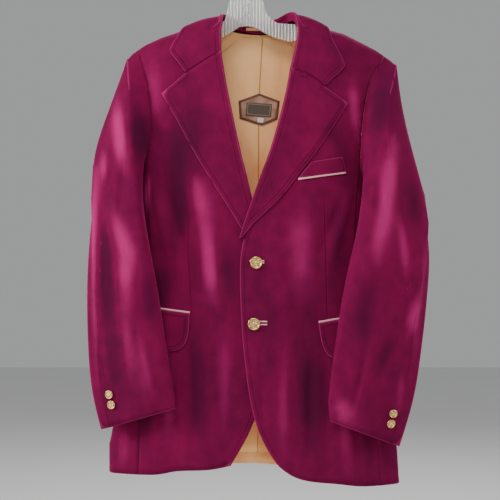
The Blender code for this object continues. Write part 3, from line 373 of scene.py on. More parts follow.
def press_folds(item, folds, middle):
    """Lifts or sinks both skins along the listed folds: start and end in the photo's pixels, half
    width and rise in mm, and the side that it is on. One place gets one move, so seams stay shut."""
    placed = [(photo_place(*start), photo_place(*end), half / 1000, rise * FOLD_BOLDNESS / 1000, side)
              for start, end, half, rise, side in folds]
    for vert in item.data.vertices:
        x, y = along(middle, vert.co.z)
        spot = Vector((vert.co.x, vert.co.z))
        facing = -(vert.co.y - y) / TURN_DEPTH
        lift = 0.0
        for start, end, half, rise, side in placed:
            run = end - start
            share = (spot - start).dot(run) / run.length_squared
            if not FOLD_START < share < 1 - FOLD_START:
                continue
            away = (spot - start - run * min(1, max(0, share))).length / half
            if away < 1:
                ends = soft_step(share, FOLD_START, FOLD_FULL) * soft_step(1 - share, FOLD_START, FOLD_FULL)
                swell = 0.5 + 0.5 * math.cos(math.pi * away)
                lift += rise * ends * swell * soft_step(facing * side, 0.0, 1.0)
        if lift:
            out = Vector((vert.co.x - x, (vert.co.y - y) * FOLD_LEAN, 0))
            vert.co = vert.co + out.normalized() * lift


FRONT, BACK = 1, -1
BODY_FOLDS = [
    # right front: drags from the armhole to the button, then soft lines down to the hem
    ((152, 178), (170, 262), 13, 2.6, FRONT), ((163, 186), (186, 252), 12, -2.2, FRONT),
    ((176, 240), (182, 300), 12, 2.0, FRONT), ((206, 236), (240, 262), 9, 1.6, FRONT),
    ((204, 262), (240, 276), 9, -1.8, FRONT), ((210, 300), (240, 322), 9, 1.5, FRONT),
    ((150, 360), (146, 455), 15, 2.6, FRONT), ((168, 352), (172, 460), 14, -2.4, FRONT),
    ((196, 340), (203, 455), 13, 2.0, FRONT), ((222, 340), (224, 430), 12, -1.6, FRONT),
    ((126, 400), (122, 465), 10, -2.4, FRONT), ((184, 380), (186, 462), 9, 1.4, FRONT),
    # left front
    ((352, 190), (330, 262), 13, 2.4, FRONT), ((342, 205), (318, 258), 11, -2.0, FRONT),
    ((300, 236), (268, 268), 10, 1.8, FRONT), ((302, 262), (270, 292), 10, -1.6, FRONT),
    ((300, 290), (264, 318), 10, 1.4, FRONT), ((290, 340), (282, 440), 14, 2.2, FRONT),
    ((312, 362), (310, 466), 14, -2.4, FRONT), ((332, 360), (336, 470), 13, 2.4, FRONT),
    ((356, 400), (362, 474), 12, -2.6, FRONT), ((380, 430), (384, 472), 10, 2.4, FRONT),
    ((262, 350), (262, 430), 10, -1.4, FRONT),
    # back: drags across the blades, waist and seat
    ((150, 110), (230, 128), 16, 2.4, BACK), ((346, 112), (276, 132), 16, 2.2, BACK),
    ((150, 180), (214, 236), 15, -2.4, BACK), ((348, 190), (290, 240), 15, -2.4, BACK),
    ((176, 250), (240, 262), 11, 2.0, BACK), ((330, 256), (268, 270), 11, 2.0, BACK),
    ((180, 300), (176, 450), 16, 2.6, BACK), ((212, 320), (208, 450), 14, -2.2, BACK),
    ((300, 310), (306, 455), 15, 2.4, BACK), ((334, 320), (344, 455), 15, -2.4, BACK),
]

DARTS = {"right_front": ((188.5, 216), (187.7, 250), (190.7, 309)),
         "left_front": ((325.0, 205), (326.5, 262), (328, 316))}
HEM_UNSEWN = -0.895               # below this the front edges have no row of stitching
EDGE_REACH = 0.03                 # the furthest that a cut edge is looked for
NO_LINE = 0.05                    # stands for no sewn line near by
LINE_END = 0.008                  # a sewn line fades out over this, both ways


def mark_seams(item, node, sewn=True, line=()):
    """Writes how far each point lies from the piece's free edge, and from a sewn line on it.

    A dart is only on the front half of its panel, and the lining's seam is on all of it."""
    data = item.data
    mesh = bmesh.new()
    mesh.from_mesh(data)
    beside = neighbours(node)
    free = [edge for edge in rim_edges(mesh)
            if beside.find((edge.verts[0].co + edge.verts[1].co) / 2)[2] > SEAM_REACH]
    free_edge = search_tree([edge.verts[0].co.lerp(edge.verts[1].co, part / 3)
                             for edge in free for part in range(3)])
    mesh.free()
    marks = ("from_edge", "stitched", "from_line", "on_line")
    for mark in marks:
        data.attributes.new(mark, "FLOAT", "POINT")
    from_edge, stitched, from_line, on_line = (data.attributes[mark].data for mark in marks)
    places = [photo_place(*point) for point in line]
    heights, sideways = [-place.y for place in places], [place.x for place in places]
    for vert in data.vertices:
        found, _, distance = free_edge.find(vert.co)
        from_edge[vert.index].value = EDGE_REACH if found is None else min(distance, EDGE_REACH)
        stitched[vert.index].value = 1.0 if sewn and vert.co.z > HEM_UNSEWN else 0.0
        from_line[vert.index].value = NO_LINE
        if places and (vert.co.y < 0 or node == "back_lining"):
            from_line[vert.index].value = vert.co.x - float(np.interp(-vert.co.z, heights, sideways))
            on_line[vert.index].value = (soft_step(places[0].y - vert.co.z, -LINE_END, LINE_END)
                                         * soft_step(vert.co.z - places[-1].y, -LINE_END, LINE_END))


STROKE_SIDE = (-0.6, 0.8)         # how far round the side a stroke fades out
STROKE_REACH = 1.8                # in half widths
STROKE_FALL = 1.6                 # how fast a stroke fades across its width
STROKE_TAPER = 0.35               # the share of a stroke's length over which it swells
STROKE_TIP = 0.4                  # a stroke's strength at its ends, as a share


def paint_pile_light(item, strokes, middle):
    """Writes painted highlight, 1, or painted shade, -1, as the pile attribute along the listed strokes:
    their points in the photo's pixels, half width in mm, strength, and side."""
    data = item.data
    data.attributes.new("pile", "FLOAT", "POINT")
    pile_painted_light = data.attributes["pile"].data
    runs = [([photo_place(*point) for point in points], half / 1000, strength, side)
            for points, half, strength, side in strokes]
    for vert in data.vertices:
        spot = Vector((vert.co.x, vert.co.z))
        facing = -(vert.co.y - along(middle, vert.co.z)[1]) / TURN_DEPTH
        total = 0.0
        for places, half, strength, side in runs:
            weight = soft_step(facing * side, *STROKE_SIDE)
            if not weight:
                continue
            nearest, reached, passed = math.inf, 0.0, 0.0
            whole = sum((second - first).length for first, second in zip(places, places[1:]))
            for first, second in zip(places, places[1:]):
                run = second - first
                share = min(1, max(0, (spot - first).dot(run) / run.length_squared))
                away = (spot - first - run * share).length / half
                if away < nearest:
                    nearest, reached = away, (passed + share * run.length) / whole
                passed += run.length
            if nearest < STROKE_REACH:
                swell = soft_step(reached, 0.0, STROKE_TAPER) * soft_step(1 - reached, 0.0, STROKE_TAPER)
                ends = STROKE_TIP + (1 - STROKE_TIP) * swell
                total += strength * weight * ends * math.exp(-STROKE_FALL * nearest * nearest)
        pile_painted_light[vert.index].value = max(-1.0, min(1.0, total))


# Bands of painted highlight (plus strength) and painted shade (minus strength) on the body pieces.
BODY_LIGHT_STROKES = [
    (((180, 120), (180, 154), (182.5, 212), (170, 240)), 34, -1.0, FRONT),
    (((193, 160), (197, 190), (203, 226)), 28, 1.0, FRONT),
    (((204, 226), (209, 262), (216, 300)), 20, 0.8, FRONT),
    (((226, 244), (228, 300)), 24, -0.8, FRONT), (((163, 262), (158, 320)), 30, -0.9, FRONT),
    (((147, 174), (146, 210)), 8, 0.8, FRONT), (((196, 232), (193, 300)), 16, -0.5, FRONT),
    (((150, 345), (142, 455)), 22, -0.6, FRONT), (((168, 345), (170, 455)), 18, 0.45, FRONT),
    (((196, 320), (202, 455)), 24, -0.7, FRONT), (((222, 330), (226, 440)), 18, 0.35, FRONT),
    (((124, 430), (120, 470)), 14, 0.4, FRONT), (((190, 120), (205, 200)), 16, -0.3, FRONT),
    (((352, 79), (358, 136)), 14, 0.6, FRONT), (((300, 206), (300, 290)), 30, 0.55, FRONT),
    (((343, 200), (334, 302)), 30, -0.6, FRONT), (((310, 345), (312, 440)), 40, -0.9, FRONT),
    (((272, 280), (266, 400)), 24, -0.5, FRONT), (((285, 345), (284, 450)), 16, 0.4, FRONT),
    (((338, 370), (346, 470)), 20, 0.45, FRONT), (((366, 430), (372, 474)), 18, -0.5, FRONT),
    (((326, 120), (346, 160)), 22, -0.4, FRONT), (((290, 120), (262, 210)), 24, -0.35, FRONT),
    (((180, 70), (220, 160)), 26, -0.3, FRONT), (((150, 60), (158, 120)), 20, 0.4, FRONT),
    (((170, 90), (176, 230), (170, 330)), 26, 0.7, BACK), (((206, 110), (204, 300)), 30, -0.8, BACK),
    (((236, 90), (240, 260)), 24, 0.45, BACK), (((300, 100), (304, 290)), 32, -0.8, BACK),
    (((336, 90), (332, 240), (338, 340)), 24, 0.7, BACK), (((180, 330), (172, 460)), 26, -0.7, BACK),
    (((214, 320), (208, 460)), 22, 0.6, BACK), (((300, 330), (308, 460)), 26, 0.6, BACK),
    (((344, 340), (352, 465)), 26, -0.7, BACK), (((262, 280), (258, 460)), 20, -0.5, BACK),
]

# Painted shade and painted highlight: the velvet goes darkest where the strokes paint shade
# and palest where they paint highlight.
COTTON_DEEP, COTTON_MID = (0.108, 0.0026, 0.033, 1), (0.225, 0.0048, 0.058, 1)
PAINTED_SHADE_PILE, PAINTED_HIGHLIGHT_PILE = (0.058, 0.0028, 0.024, 1), (0.56, 0.030, 0.19, 1)
# The first colour on the next line is a painted highlight for the free edges; the second is the dark speckle
# of the pile's roots.
PAINTED_EDGE_SHEEN, PILE_ROOT = (0.50, 0.040, 0.18, 1), (0.060, 0.003, 0.025, 1)
STITCH_INSET = 0.008              # how far in from a free edge its row of stitching runs

velvet = Finish("velvet", Sheen_Weight=0.34, Sheen_Roughness=0.30, Sheen_Tint=(1.0, 0.07, 0.36, 1),
                Specular_IOR_Level=0.05)
brushed = velvet.noise(11.0, 4.0, (1, 1, 0.55))
patches = velvet.noise(42.0)
pile = velvet.noise(1400.0, 2.0)
pulls = velvet.noise(30.0, 3.0, (1, 1, 0.4))
# A painted highlight: a thin lighter pink sheen along each free edge of the velvet.
painted_edge_sheen = velvet.between(velvet.attribute("from_edge"), 0.0024, 0.0)
shade = velvet.between(brushed * 0.6 + patches * 0.4, 0.22, 0.78)
# Painted highlight and shade from the strokes, plus random streaks of nap tone.
lie = velvet.attribute("pile") * 1.1 + (velvet.noise(20.0, 4.0, (1, 1, 0.28)) - 0.5) * 0.7
velvet_colour = velvet.blend(COTTON_DEEP, COTTON_MID, shade)
# Painted shade, then painted highlight, laid over the velvet's own colour.
velvet_colour = velvet.blend(velvet_colour, PAINTED_SHADE_PILE, velvet.between(lie, 0.0, -1.0) * 0.85)
velvet_colour = velvet.blend(velvet_colour, PAINTED_HIGHLIGHT_PILE, velvet.between(lie, 0.0, 1.1) * 0.80)
velvet_colour = velvet.blend(velvet_colour, PAINTED_EDGE_SHEEN, painted_edge_sheen * 0.45)
velvet_colour = velvet.blend(velvet_colour, PILE_ROOT, velvet.between(pile, 0.62, 0.30) * 0.35)
velvet.set("Base Color", velvet_colour)
velvet.set("Roughness", shade * 0.12 + 0.74)
stitch_row = velvet.between(abs(velvet.attribute("from_edge") - STITCH_INSET), 0.0013, 0.0)
stitch_row = stitch_row * velvet.attribute("stitched")
dart_row = velvet.between(abs(velvet.attribute("from_line")), 0.0016, 0.0) * velvet.attribute("on_line")
relief = velvet.bump(pulls, 0.0030, 0.5)
relief = velvet.bump(1.0 - stitch_row - dart_row, 0.0012, 1.0, relief)
velvet.set("Normal", velvet.bump(pile, 0.0005, 0.6, relief))

lining_satin = Finish("lining_satin", Sheen_Weight=0.05, Sheen_Roughness=0.4, Sheen_Tint=(1, 0.85, 0.65, 1),
                      Specular_IOR_Level=0.45)
satin_waves = lining_satin.noise(14.0, 4.0, (1, 1, 0.5))
satin_weave = lining_satin.noise(1600.0, 1.0, (1, 1, 0.2))
satin_line = lining_satin.between(abs(lining_satin.attribute("from_line")), 0.0014, 0.0)
satin_line = satin_line * lining_satin.attribute("on_line")
satin_colour = lining_satin.blend((0.80, 0.33, 0.095, 1), (1.0, 0.54, 0.20, 1),
                                  lining_satin.between(satin_waves, 0.32, 0.68))
lining_satin.set("Base Color", lining_satin.blend(satin_colour, (0.38, 0.18, 0.07, 1), satin_line * 0.6))
lining_satin.set("Roughness", satin_weave * 0.12 + 0.36)
satin_relief = lining_satin.bump(satin_waves, 0.004, 0.5)
satin_relief = lining_satin.bump(1.0 - satin_line, 0.001, 1.0, satin_relief)
lining_satin.set("Normal", lining_satin.bump(satin_weave, 0.0002, 0.4, satin_relief))

PANEL_CUTS = {  # width and length of the cut in metres, and its area in square metres
    "right_back": (0.26, 0.84, 0.160), "left_back": (0.26, 0.84, 0.152),
    "right_side": (0.10, 0.58, 0.046), "left_side": (0.10, 0.58, 0.045),
    "right_front": (0.30, 0.83, 0.149), "left_front": (0.30, 0.83, 0.153),
}
cloth = []
for panel, (width, length, area) in PANEL_CUTS.items():
    piece = soft_wall(panel + "_panel", panel, velvet, TORSO, lining_satin)
    press_folds(piece, BODY_FOLDS, TORSO)
    mark_seams(piece, panel, panel.endswith("front"), DARTS.get(panel, ()))
    paint_pile_light(piece, BODY_LIGHT_STROKES, TORSO)
    cloth.append(piece)

# ---------------------------------------------------------------- sleeves
# Each sleeve is a top sleeve and an under sleeve in the same velvet, eased into the armhole with
# a padded head and left to hang, so it breaks in deep slanting folds at the elbow.

SLEEVE_MIDDLE = {
    "right": [(-0.19, -0.160, 0.0), (-0.30, -0.205, -0.015),
              (-0.52, -0.236, -0.028), (-0.84, -0.200, -0.052)],
    "left": [(-0.19, 0.205, 0.0), (-0.32, 0.262, -0.015),
             (-0.54, 0.286, -0.028), (-0.86, 0.232, -0.056)],
}
SLEEVE_CREASES = {
    "right": [((112, 120), (104, 190), 10, 2.4, FRONT), ((128, 150), (120, 214), 9, -2.4, FRONT),
              ((92, 236), (128, 262), 10, 2.6, FRONT), ((90, 262), (124, 292), 9, -2.4, FRONT),
              ((96, 292), (136, 308), 9, 2.2, FRONT), ((92, 322), (130, 330), 10, -2.0, FRONT),
              ((104, 340), (112, 392), 10, 2.2, FRONT), ((136, 330), (152, 396), 10, -2.2, FRONT),
              ((100, 200), (96, 262), 10, -2.0, BACK), ((112, 250), (104, 320), 12, 2.4, BACK),
              ((94, 330), (128, 346), 10, -2.2, BACK), ((112, 350), (124, 412), 12, 2.2, BACK)],
    "left": [((388, 128), (398, 196), 10, 2.4, FRONT), ((372, 160), (384, 226), 9, -2.4, FRONT),
             ((424, 246), (388, 270), 10, 2.6, FRONT), ((426, 276), (390, 300), 9, -2.6, FRONT),
             ((426, 306), (384, 322), 9, 2.4, FRONT), ((420, 338), (380, 344), 10, -2.2, FRONT),
             ((404, 350), (392, 404), 10, 2.2, FRONT), ((366, 344), (352, 408), 10, -2.2, FRONT),
             ((408, 206), (414, 270), 10, -2.0, BACK), ((398, 262), (404, 330), 12, 2.4, BACK),
             ((420, 340), (386, 356), 10, -2.2, BACK), ((392, 362), (380, 422), 12, 2.2, BACK)],
}
# Bands of painted highlight (plus strength) and painted shade (minus strength) on the sleeves.
SLEEVE_LIGHT_STROKES = [
    (((95, 170), (91, 220), (89, 300), (92, 370)), 16, 1.0, FRONT),
    (((116, 100), (118, 126), (124, 168)), 16, 1.0, FRONT),
    (((102, 149), (104.5, 180)), 10, 0.6, FRONT), (((109, 205), (128, 252), (125, 300)), 24, 0.9, FRONT),
    (((104.5, 206), (107, 292), (112, 340)), 22, -1.0, FRONT), (((138, 110), (142, 160)), 22, -1.0, FRONT),
    (((146, 270), (154, 330)), 18, -0.7, FRONT), (((112, 340), (118, 390)), 22, -0.6, FRONT),
    (((140, 340), (150, 396)), 16, 0.45, FRONT), (((124, 310), (130, 380)), 14, 0.35, FRONT),
    (((386, 70), (374, 146)), 26, -0.8, FRONT), (((392, 140), (383, 215), (375, 262)), 20, 1.0, FRONT),
    (((399, 217), (407, 280)), 12, 0.5, FRONT), (((423, 296), (411, 334)), 22, 0.8, FRONT),
    (((428, 240), (426, 300), (420, 363)), 12, 0.7, FRONT), (((368, 272), (360, 350)), 30, -0.7, FRONT),
    (((409, 176), (418, 232)), 24, -0.7, FRONT), (((336, 396), (350, 424)), 24, 0.6, FRONT),
    (((394, 330), (374, 378)), 20, -0.6, FRONT), (((402, 370), (398, 420)), 10, 0.4, FRONT),
    (((104, 130), (98, 240)), 20, 0.8, BACK), (((124, 170), (116, 300)), 22, -0.9, BACK),
    (((98, 280), (104, 380)), 18, 0.7, BACK), (((130, 320), (140, 400)), 18, -0.6, BACK),
    (((398, 130), (408, 230)), 20, 0.8, BACK), (((380, 190), (384, 300)), 22, -0.9, BACK),
    (((420, 280), (404, 380)), 18, 0.7, BACK), (((372, 330), (356, 410)), 18, -0.6, BACK),
]
SLEEVE_CUTS = {
    "right_top_sleeve": (0.26, 0.68, 0.102), "left_top_sleeve": (0.26, 0.69, 0.111),
    "right_under_sleeve": (0.19, 0.64, 0.084), "left_under_sleeve": (0.20, 0.65, 0.095),
}
for panel, (width, length, area) in SLEEVE_CUTS.items():
    side = panel.split("_")[0]
    piece = soft_wall(panel + "_panel", panel, velvet, SLEEVE_MIDDLE[side], lining_satin)
    press_folds(piece, SLEEVE_CREASES[side], SLEEVE_MIDDLE[side])
    mark_seams(piece, panel, sewn=False)
    paint_pile_light(piece, SLEEVE_LIGHT_STROKES, SLEEVE_MIDDLE[side])
    cloth.append(piece)

# ---------------------------------------------------------------- lapels and collar
# Very wide notched lapels roll from the front edges, and the collar folds over the back neck.
# All are velvet on both sides, with one row of stitching near the edge.

LEAF_CUTS = {"right_lapel": (0.13, 0.36, 0.0253), "left_lapel": (0.12, 0.32, 0.0213),
             "collar": (0.12, 0.48, 0.0383)}
for panel, (width, length, area) in LEAF_CUTS.items():
    piece = soft_wall(panel + "_leaf", panel, velvet)
    press_folds(piece, BODY_FOLDS, TORSO)
    mark_seams(piece, panel)
    paint_pile_light(piece, BODY_LIGHT_STROKES, TORSO)
    cloth.append(piece)

# ---------------------------------------------------------------- pockets
# Two rounded flaps and a slanting breast welt in velvet. A narrow pale satin piping is caught
# in the seam of each, at the top of the flaps and at the foot of the welt.

piping_satin = Finish("piping_satin", Sheen_Weight=0.2, Sheen_Roughness=0.4, Sheen_Tint=(1, 0.8, 0.8, 1))
twill = piping_satin.noise(900.0, 2.0, (1, 1, 3))
piping_satin.set("Base Color", piping_satin.blend((0.70, 0.27, 0.31, 1), (0.88, 0.47, 0.48, 1), twill))
piping_satin.set("Roughness", twill * 0.15 + 0.40)
piping_satin.set("Normal", piping_satin.bump(twill, 0.0003, 0.6))

POCKET_CUTS = {"right_pocket_flap": (0.112, 0.075, 0.0078), "left_pocket_flap": (0.112, 0.075, 0.0078),
               "breast_welt": (0.090, 0.028, 0.0020)}
for panel, (width, length, area) in POCKET_CUTS.items():
    piece = soft_wall(panel + "_leaf", panel, velvet)
    press_folds(piece, BODY_FOLDS, TORSO)
    mark_seams(piece, panel, sewn=panel != "breast_welt")
    paint_pile_light(piece, BODY_LIGHT_STROKES, TORSO)
    cloth.append(piece)
for trim in ("right_pocket_piping", "left_pocket_piping", "breast_piping"):
    piece = soft_wall(trim + "_trim", trim, piping_satin)
    press_folds(piece, BODY_FOLDS, TORSO)
    mark_seams(piece, trim, sewn=False)

# ---------------------------------------------------------------- lining, loop and labels
# The back is lined in tan satin, seamed at the centre, with a hanging loop at the neck. On it
# lie a leather patch with a zigzag border, a bare woven label and a small white tab.

LINING_LINE = ((263, 29), (259.7, 89), (259, 122), (258, 470))
LINING_FOLDS = [
    ((266, 44), (296, 50), 5, 1.0, BACK), ((264, 62), (292, 70), 5, -1.1, BACK),
    ((262, 80), (288, 88), 5, 1.0, BACK), ((232, 40), (244, 86), 6, -1.0, BACK),
    ((240, 130), (252, 180), 6, 1.1, BACK), ((262, 130), (256, 178), 5, -1.0, BACK),
]
back_lining = soft_wall("back_lining_panel", "back_lining", lining_satin)
press_folds(back_lining, LINING_FOLDS, TORSO)
mark_seams(back_lining, "back_lining", sewn=False, line=LINING_LINE)

hanging_loop = soft_wall("hanging_loop_tape", "hanging_loop", lining_satin)
mark_seams(hanging_loop, "hanging_loop", sewn=False)

leather = Finish("leather", Specular_IOR_Level=0.4)
grain = leather.node("TexVoronoi", {"feature": "F1"}, {"Vector": leather.place(), "Scale": 900.0})
stain = leather.noise(60.0, 4.0)
hide = leather.blend((0.30, 0.135, 0.075, 1), (0.52, 0.30, 0.215, 1), leather.between(stain, 0.3, 0.7))
dark_border = leather.between(leather.attribute("from_edge"), 0.0050, 0.0036)
leather.set("Base Color", leather.blend(hide, (0.16, 0.065, 0.030, 1), dark_border))
leather.set("Roughness", stain * 0.2 + 0.45)
leather.set("Normal", leather.bump(grain, 0.0004, 0.5))
leather_patch = soft_wall("leather_patch_sheet", "leather_patch", leather, levels=3)
mark_seams(leather_patch, "leather_patch", sewn=False)

thread = Finish("thread", Roughness=0.7)
thread.set("Base Color", thread.blend((0.05, 0.025, 0.015, 1), (0.12, 0.06, 0.03, 1), thread.noise(2000.0)))
woven_label = Finish("woven_label", Roughness=0.8)
rows = woven_label.node("TexWave", {"bands_direction": "Z"}, {"Vector": woven_label.place(), "Scale": 420.0})
label_edge = woven_label.between(abs(woven_label.attribute("from_edge") - 0.0026), 0.0007, 0.0003)
weave = woven_label.blend((0.085, 0.064, 0.046, 1), (0.150, 0.118, 0.088, 1), rows)
woven_label.set("Base Color", woven_label.blend(weave, (0.38, 0.32, 0.25, 1), label_edge * 0.8))
woven_label.set("Normal", woven_label.bump(rows, 0.0003, 0.7))
white_tape = Finish("white_tape", Roughness=0.75)
tape_rows = white_tape.node("TexWave", {"bands_direction": "Z"},
                            {"Vector": white_tape.place(), "Scale": 500.0})
white_tape.set("Base Color", white_tape.blend((0.78, 0.74, 0.69, 1), (0.92, 0.89, 0.85, 1), tape_rows))
white_tape.set("Normal", white_tape.bump(tape_rows, 0.0002, 0.6))
for node, finish, size, slot in (("woven_label", woven_label, (0.048, 0.026), "woven_label"),
                                 ("size_tab", white_tape, (0.012, 0.010), "white_tape")):
    piece = soft_wall(node + "_tape", node, finish, levels=3)
    mark_seams(piece, node, sewn=False)


THREAD_SIDES = 6


def thread_run(name, points, radius, finish):
    """A thread or a thin lip laid through points, as a six-sided tube with closed ends."""
    mesh = bmesh.new()
    rings = []
    for number, point in enumerate(points):
        run = (points[min(number + 1, len(points) - 1)] - points[max(number - 1, 0)]).normalized()
        across = run.cross(Vector((0, 1, 0))).normalized()
        up = across.cross(run)
        rings.append([mesh.verts.new(point + (across * math.cos(turn) + up * math.sin(turn)) * radius)
                      for turn in (2 * math.pi * step / THREAD_SIDES for step in range(THREAD_SIDES))])
    for first, second in zip(rings, rings[1:]):
        for step in range(THREAD_SIDES):
            after = (step + 1) % THREAD_SIDES
            mesh.faces.new((first[step], first[after], second[after], second[step]))
    mesh.faces.new(rings[0][::-1])
    mesh.faces.new(rings[-1])
    bmesh.ops.recalc_face_normals(mesh, faces=mesh.faces)
    item = placed_object(name, mesh, finish)
    item.data.shade_smooth()
    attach(item, "root")


def surface_of(items):
    """One search tree over finished cloth, to lay sewing on."""
    points, faces = [], []
    for item in items:
        start = len(points)
        points.extend(vert.co.copy() for vert in item.data.vertices)
        faces.extend([start + index for index in face.vertices] for face in item.data.polygons)
    return BVHTree.FromPolygons(points, faces)


PATCH_CORNERS = ((24, -250), (61, -264), (57, -297), (29, -309), (-12, -296), (-14, -264))  # in mm
ZIGZAG_STEP = 0.0016
ZIGZAG_OUT, ZIGZAG_IN = 0.0020, 0.0042
ZIGZAG_RADIUS, ZIGZAG_PROUD = 0.00028, 0.0002

patch_face = surface_of([leather_patch])
corners = [Vector((x / 1000, z / 1000)) for x, z in PATCH_CORNERS]
centre = sum(corners, Vector((0, 0))) / len(corners)
zigzag = []
for first, second in zip(corners, corners[1:] + corners[:1]):
    steps = max(4, int((second - first).length / ZIGZAG_STEP))
    for step in range(steps):
        spot = first.lerp(second, step / steps)
        spot = spot + (centre - spot).normalized() * (ZIGZAG_IN if step % 2 else ZIGZAG_OUT)
        hit = patch_face.ray_cast(Vector((spot.x, -0.1, spot.y)), Vector((0, 1, 0)))[0]
        if hit is not None:
            zigzag.append(hit + Vector((0, -ZIGZAG_PROUD, 0)))
zigzag.append(zigzag[0].copy())
thread_run("patch_zigzag", zigzag, ZIGZAG_RADIUS, thread)

# ---------------------------------------------------------------- buttonholes
# Bound holes: two lips of pale satin for each, with a dark tube between them as painted shade in
# the slot. The lower one shows beside its button, and only the tip of the upper one does.

front_face = surface_of(cloth)
LIP_STEPS, LIP_RADIUS, LIP_PROUD = 8, 0.0013, 0.0004
SLOT_STEPS, SLOT_RADIUS, SLOT_PROUD = 6, 0.0008, 0.0001


def on_front(start, end, steps, proud):
    """Points on the outermost cloth along a line in the photo."""
    points = []
    for step in range(steps + 1):
        spot = photo_place(start[0] + (end[0] - start[0]) * step / steps,
                           start[1] + (end[1] - start[1]) * step / steps)
        hit = front_face.ray_cast(Vector((spot.x, -0.2, spot.y)), Vector((0, 1, 0)))[0]
        points.append(hit + Vector((0, -proud, 0)))
    return points


for name, start, end in (("lower_hole_top_lip", (258.5, 321.3), (267.3, 321.6)),
                         ("lower_hole_foot_lip", (258.5, 324.6), (267.3, 324.6)),
                         ("upper_hole_top_lip", (258.0, 260.6), (264.2, 260.8)),
                         ("upper_hole_foot_lip", (258.0, 262.9), (264.2, 262.9))):
    lip = on_front(start, end, LIP_STEPS, LIP_PROUD)
    thread_run(name, lip, LIP_RADIUS, piping_satin)
# Each slot is a dark thread tube: painted shade in the opening between the lips.
for name, start, end in (("lower_hole_shade_slot", (259, 322.9), (267.4, 322.9)),
                         ("upper_hole_shade_slot", (259, 261.8), (264.4, 261.8))):
    thread_run(name, on_front(start, end, SLOT_STEPS, SLOT_PROUD), SLOT_RADIUS, thread)

# ---------------------------------------------------------------- buttons
# Turned brass buttons: a polished raised rim round a worn bowl with a plain eight-petal rosette,
# sewn on by a shank. Two close the front and two sit on each cuff.

brass = Finish("brass", Metallic=1.0)
tarnish = brass.noise(500.0, 4.0)
brass.set("Base Color", brass.blend((0.50, 0.29, 0.085, 1), (0.83, 0.57, 0.24, 1),
                                    brass.between(tarnish, 0.30, 0.62)))
brass.set("Roughness", tarnish * 0.25 + 0.18)
brass.set("Normal", brass.bump(brass.noise(900.0), 0.0001, 0.5))

# From the middle out to the rim and under it to the foot: shares of the radius and the height.
BUTTON_PROFILE = [(0.0, 0.80), (0.07, 0.78), (0.13, 0.66), (0.20, 0.58), (0.28, 0.56), (0.36, 0.56),
                  (0.44, 0.56), (0.52, 0.56), (0.60, 0.54), (0.66, 0.54), (0.72, 0.60), (0.76, 0.80),
                  (0.81, 0.95), (0.87, 1.0), (0.93, 0.97), (0.98, 0.86), (1.0, 0.70), (0.99, 0.52),
                  (0.92, 0.36), (0.78, 0.18), (0.45, 0.0)]
BUTTON_SIDES = 64
PETALS, PETAL_RISE = 8, 0.17
BEADS, BEAD_RISE = 32, 0.03
BUTTON_CORNER = math.radians(60)


def rosette(share, level, turn):
    """How far the face is raised above its profile, as a share of the button's height."""
    if 0.2 < share < 0.62 and level > 0.5:
        petal = max(0.0, math.cos(PETALS * turn)) ** 0.6
        return PETAL_RISE * petal * math.sin(math.pi * (share - 0.18) / 0.46)
    if 0.8 < share < 0.95 and level > 0.9:
        return BEAD_RISE * math.cos(BEADS * turn)
    return 0.0


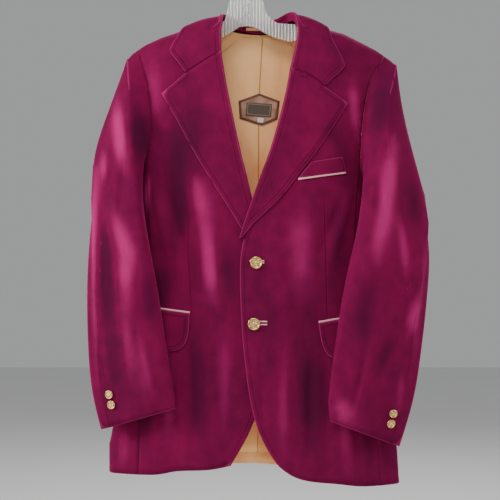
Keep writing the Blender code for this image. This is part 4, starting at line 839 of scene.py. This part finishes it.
def turned_button(name, node):
    """A button turned round its own axis, with the rosette raised in the bowl."""
    points = np.array([vert.co[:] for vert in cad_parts[node].data.vertices])
    low, high = points.min(0), points.max(0)
    middle = points.mean(0)
    axis = Vector(np.linalg.svd(points - middle, full_matrices=False)[2][2])
    if axis.y > 0:
        axis = -axis
    across = axis.cross(Vector((0, 0, 1))).normalized()
    up = across.cross(axis).normalized()
    spread = (points - middle) @ np.array(axis[:])
    foot, height = float(spread.min()), float(spread.max() - spread.min())
    radius = float(np.abs((points - middle) @ np.array(across[:])).max())
    centre_place = Vector((low + high) / 2)
    centre_place = centre_place + axis * ((Vector(middle) - centre_place).dot(axis) + foot)
    mesh = bmesh.new()
    top = mesh.verts.new(centre_place + axis * BUTTON_PROFILE[0][1] * height)
    rings = []
    for share, level in BUTTON_PROFILE[1:]:
        ring = []
        for step in range(BUTTON_SIDES):
            turn = 2 * math.pi * step / BUTTON_SIDES
            ring.append(mesh.verts.new(centre_place + axis * (level + rosette(share, level, turn)) * height
                                       + (across * math.cos(turn) + up * math.sin(turn)) * share * radius))
        rings.append(ring)
    for step in range(BUTTON_SIDES):
        after = (step + 1) % BUTTON_SIDES
        mesh.faces.new((top, rings[0][step], rings[0][after]))
        for first, second in zip(rings, rings[1:]):
            mesh.faces.new((first[step], second[step], second[after], first[after]))
    mesh.faces.new(rings[-1])
    bmesh.ops.recalc_face_normals(mesh, faces=mesh.faces)
    item = placed_object(name, mesh, brass)
    item.data.shade_smooth()
    item.data.set_sharp_from_angle(angle=BUTTON_CORNER)
    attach(item, "root")
    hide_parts(node)


for node in ("front_button_1", "front_button_2", "right_sleeve_button_1", "right_sleeve_button_2",
             "left_sleeve_button_1", "left_sleeve_button_2"):
    turned_button(node + "_turned", node)

# ---------------------------------------------------------------- studio
# A plain pale floor well below the hem, soft light from the front, both sides, the neck and
# behind, and the camera square on to the jacket, as in the photo.

floor_paint = Finish("studio_floor", Roughness=0.85)
floor_paint.set("Base Color", floor_paint.blend((0.74, 0.74, 0.73, 1), (0.78, 0.78, 0.77, 1),
                                                floor_paint.noise(3.0)))
clear_selection()
bpy.ops.mesh.primitive_plane_add(size=14, location=(0, 0, -1.35))
floor = bpy.context.object
floor.name = "studio_floor"
floor.data.materials.append(floor_paint.material)

world = bpy.data.worlds.new("studio_air")
bpy.context.scene.world = world
world.use_nodes = True
world.node_tree.nodes["Background"].inputs["Color"].default_value = (0.86, 0.87, 0.88, 1)
world.node_tree.nodes["Background"].inputs["Strength"].default_value = 0.42

for name, place, size, energy in (("front_light", (-0.6, -1.8, 1.5), 0.9, 35),
                                  ("left_light", (-2.2, -0.75, 0.1), 0.9, 46),
                                  ("right_light", (2.2, -0.7, 0.0), 0.9, 17),
                                  ("neck_light", (0.05, -1.5, -0.1), 0.3, 3.5),
                                  ("back_light", (0.4, 2.2, 1.2), 1.2, 40)):
    light = bpy.data.lights.new(name, "AREA")
    light.energy = energy
    light.size = size
    lamp = bpy.data.objects.new(name, light)
    bpy.context.scene.collection.objects.link(lamp)
    lamp.location = place
    lamp.rotation_euler = (Vector((0, 0, -0.5)) - Vector(place)).to_track_quat("-Z", "Y").to_euler()

camera_data = bpy.data.cameras.new("camera")
camera_data.lens = 98
camera_data.sensor_width = 36
camera = bpy.data.objects.new("camera", camera_data)
bpy.context.scene.collection.objects.link(camera)
camera.location = (0.007, -2.445, -0.535)
camera.rotation_euler = (math.radians(90), 0, 0)
bpy.context.scene.camera = camera
